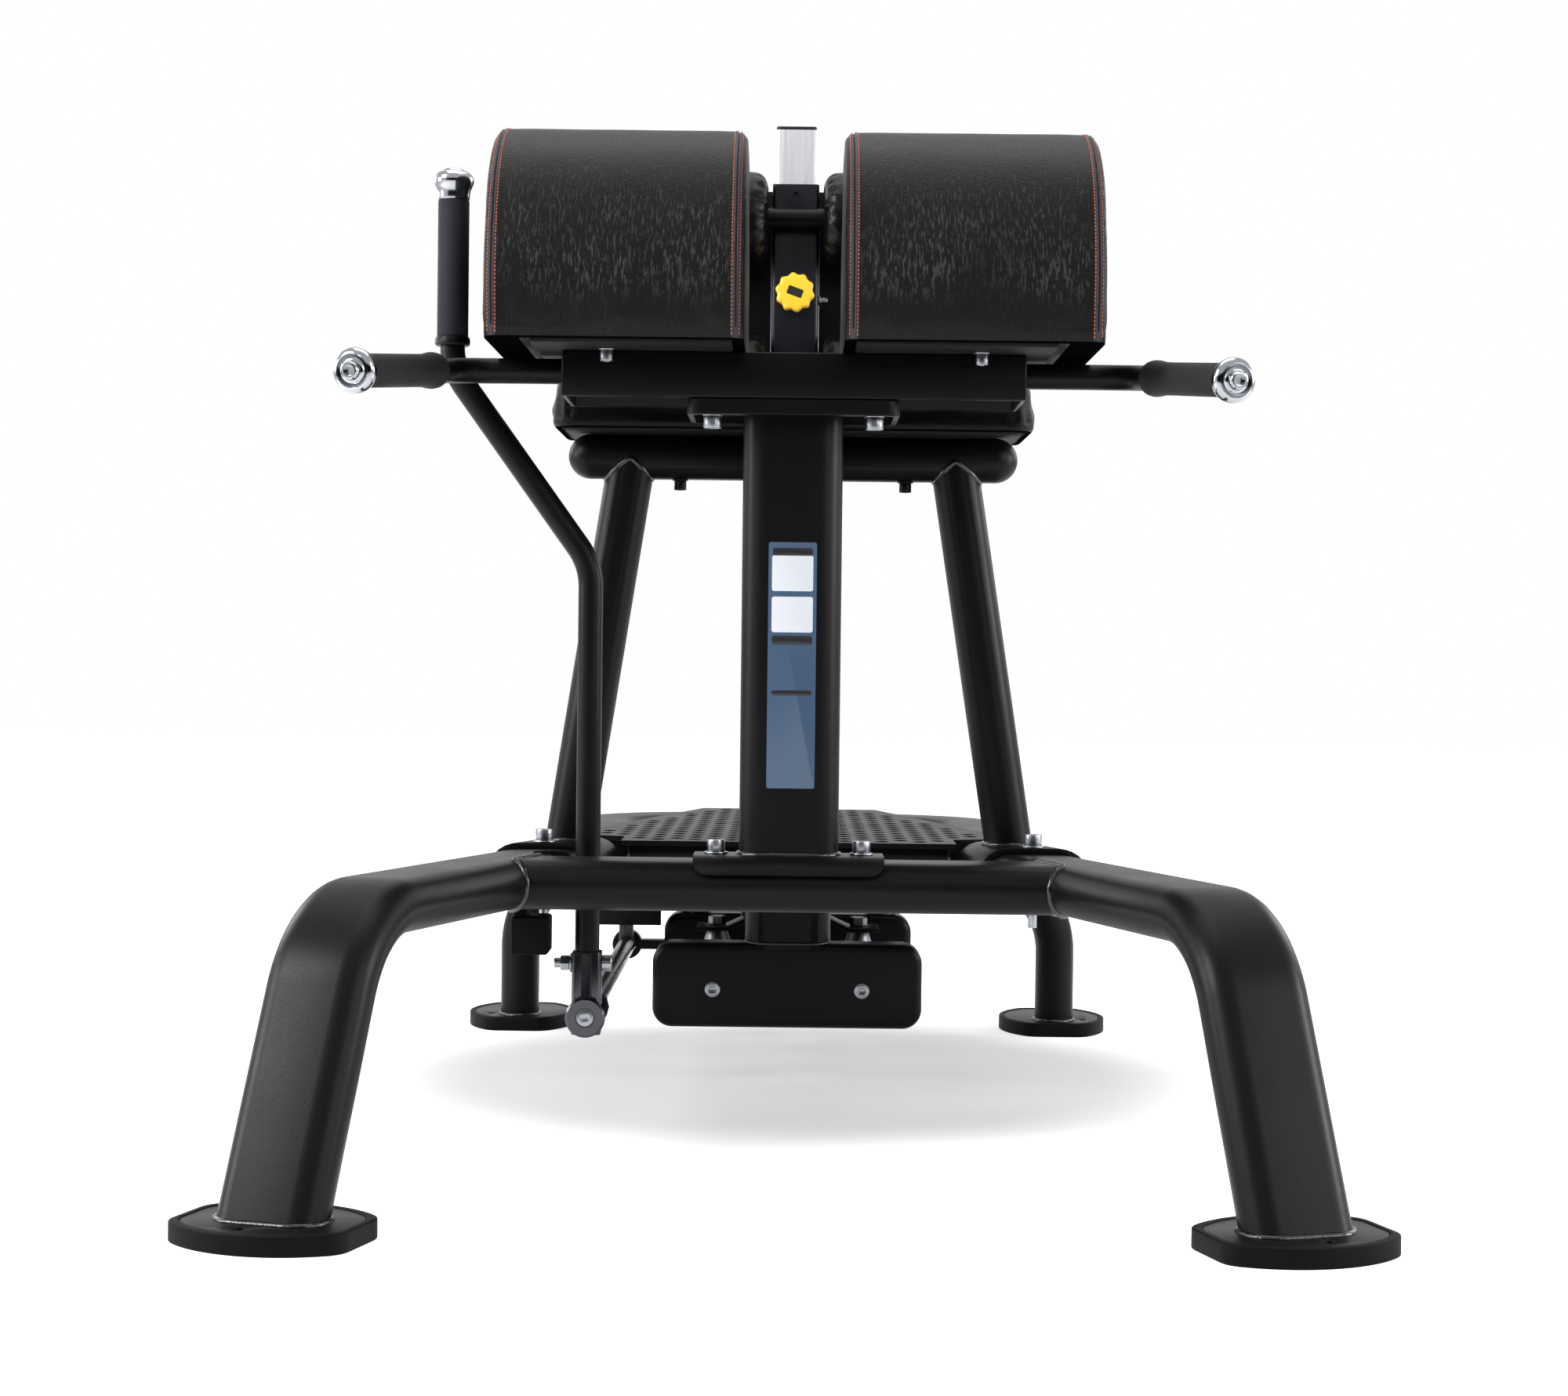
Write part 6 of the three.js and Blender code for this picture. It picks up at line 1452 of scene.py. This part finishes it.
def shown(add):
    """1 for what the camera sees, straight or in metal or glass, and 0 for other light."""
    path = add("ShaderNodeLightPath").outputs
    seen = {0: path["Is Camera Ray"], 1: path["Is Glossy Ray"]}
    mirrored = add("ShaderNodeMath", seen, operation="MAXIMUM")
    return add("ShaderNodeMath", {0: mirrored, 1: path["Is Transmission Ray"]}, operation="MAXIMUM")


def floor_finish():
    """White paper sweep: it shows white to the camera and to metal, and keeps the machine's shadow. Round the
    machine it also carries a painted shadow: greyer paper and a weaker glow.
    """
    material, add, place = material_tree("paper_floor_painted_shadow")
    # Painted shadow: within 0.35 m of a point 0.25 m towards the rollers, the paper is grey and glows less.
    # By 0.72 m it is plain white.
    moved = add("ShaderNodeMapping", {"Vector": place, "Location": (0, -0.25, 0)})
    reach = add("ShaderNodeVectorMath", {0: moved}, operation="LENGTH").outputs["Value"]
    away = add("ShaderNodeMapRange", {0: reach, 1: 0.35, 2: 0.72}, interpolation_type="SMOOTHSTEP")
    level = add("ShaderNodeMapRange", {0: away, 3: 0.5, 4: 0.9})
    paper = add("ShaderNodeMix", {0: away, 6: rgba("#858586"), 7: rgba("#ececec")}, data_type="RGBA")
    values = {
        "Base Color": paper.outputs[2],
        "Roughness": 0.9,
        "Specular IOR Level": 0,
        "Emission Color": (1, 1, 1, 1),
        "Emission Strength": add("ShaderNodeMath", {0: level, 1: shown(add)}, operation="MULTIPLY"),
    }
    add("ShaderNodeOutputMaterial", {0: add("ShaderNodeBsdfPrincipled", values)})
    return material


def world_light():
    """A pale room: white where the camera, metal or glass sees it, and soft light elsewhere."""
    world = bpy.data.worlds.new("studio")
    world.use_nodes = True
    world.node_tree.nodes.clear()
    add = partial(add_node, world.node_tree)
    level = add("ShaderNodeMapRange", {0: shown(add), 3: 0.22, 4: 1})
    light = add("ShaderNodeBackground", {"Color": (1, 1, 1, 1), "Strength": level})
    add("ShaderNodeOutputWorld", {0: light})
    return world


# Operators


class BENCH_OT_finishes(bpy.types.Operator):
    """Make the finishes and the node trees"""

    bl_idname = "bench.finishes"
    bl_label = "Finishes"

    def execute(self, context):
        make_finishes(context.scene.bench_paint, context.scene.bench_pads)
        GROUPS.update(beads=bead_group(), stitches=stitch_group(), screws=screw_group())
        GROUPS.update(holes=hole_group(), sheet=sheet_group())
        return {"FINISHED"}


class BENCH_OT_frame(bpy.types.Operator):
    """Build the frame tubes, feet, column and A frame"""

    bl_idname = "bench.frame"
    bl_label = "Frame"

    def execute(self, context):
        frame_tubes()
        column()
        a_frame()
        return {"FINISHED"}


class BENCH_OT_hip_station(bpy.types.Operator):
    """Build the pad bracket, hip pads, handles and label"""

    bl_idname = "bench.hip_station"
    bl_label = "Hip station"

    def execute(self, context):
        bracket()
        hip_pads()
        handles()
        label()
        return {"FINISHED"}


class BENCH_OT_kneeling_station(bpy.types.Operator):
    """Build the kneeling pad and the step plate"""

    bl_idname = "bench.kneeling_station"
    bl_label = "Kneeling station"

    def execute(self, context):
        kneeling_pad()
        step_plate()
        return {"FINISHED"}


class BENCH_OT_slides(bpy.types.Operator):
    """Build the slide unit and the post with its sleeve"""

    bl_idname = "bench.slides"
    bl_label = "Slides"

    def execute(self, context):
        slide_unit()
        post()
        return {"FINISHED"}


class BENCH_OT_rollers(bpy.types.Operator):
    """Build the ankle rollers"""

    bl_idname = "bench.rollers"
    bl_label = "Rollers"

    def execute(self, context):
        rollers()
        return {"FINISHED"}


class BENCH_OT_lever(bpy.types.Operator):
    """Build the release lever and its shaft"""

    bl_idname = "bench.lever"
    bl_label = "Lever"

    def execute(self, context):
        lever()
        return {"FINISHED"}


class BENCH_OT_stage(bpy.types.Operator):
    """Set up the camera, floor, lamps and world"""

    bl_idname = "bench.stage"
    bl_label = "Stage"

    def execute(self, context):
        stage()
        return {"FINISHED"}


OPERATORS = (
    BENCH_OT_finishes,
    BENCH_OT_stage,
    BENCH_OT_frame,
    BENCH_OT_hip_station,
    BENCH_OT_kneeling_station,
    BENCH_OT_slides,
    BENCH_OT_rollers,
    BENCH_OT_lever,
)


class BENCH_PT_panel(bpy.types.Panel):
    """Settings and build steps of the glute ham developer"""

    bl_label = "Glute ham developer"
    bl_idname = "BENCH_PT_panel"
    bl_space_type = "VIEW_3D"
    bl_region_type = "UI"
    bl_category = "Bench"

    def draw(self, context):
        layout = self.layout
        for settings in (context.scene.bench_paint, context.scene.bench_pads, context.scene.bench_stage):
            for name in settings.__annotations__:
                layout.prop(settings, name)
        for operator in OPERATORS:
            layout.operator(operator.bl_idname)


SETTINGS = (("bench_paint", PaintSettings), ("bench_pads", PadSettings), ("bench_stage", StageSettings))


def register():
    for name, group in SETTINGS:
        bpy.utils.register_class(group)
        setattr(bpy.types.Scene, name, bpy.props.PointerProperty(type=group))
    for kind in (*OPERATORS, BENCH_PT_panel):
        bpy.utils.register_class(kind)


def unregister():
    for kind in reversed((*OPERATORS, BENCH_PT_panel)):
        bpy.utils.unregister_class(kind)
    for name, group in reversed(SETTINGS):
        delattr(bpy.types.Scene, name)
        bpy.utils.unregister_class(group)


def main():
    register()
    bpy.ops.bench.finishes()
    bpy.ops.bench.stage()
    bpy.ops.bench.frame()
    bpy.ops.bench.hip_station()
    bpy.ops.bench.kneeling_station()
    bpy.ops.bench.slides()
    bpy.ops.bench.rollers()
    bpy.ops.bench.lever()
    dress_rest()


def dress_rest():
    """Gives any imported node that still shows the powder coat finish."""
    for node in frame["nodes"].values():
        if not node.hide_render:
            node.data.materials.clear()
            node.data.materials.append(FINISHES["paint"])


if __name__ == "__main__":
    main()
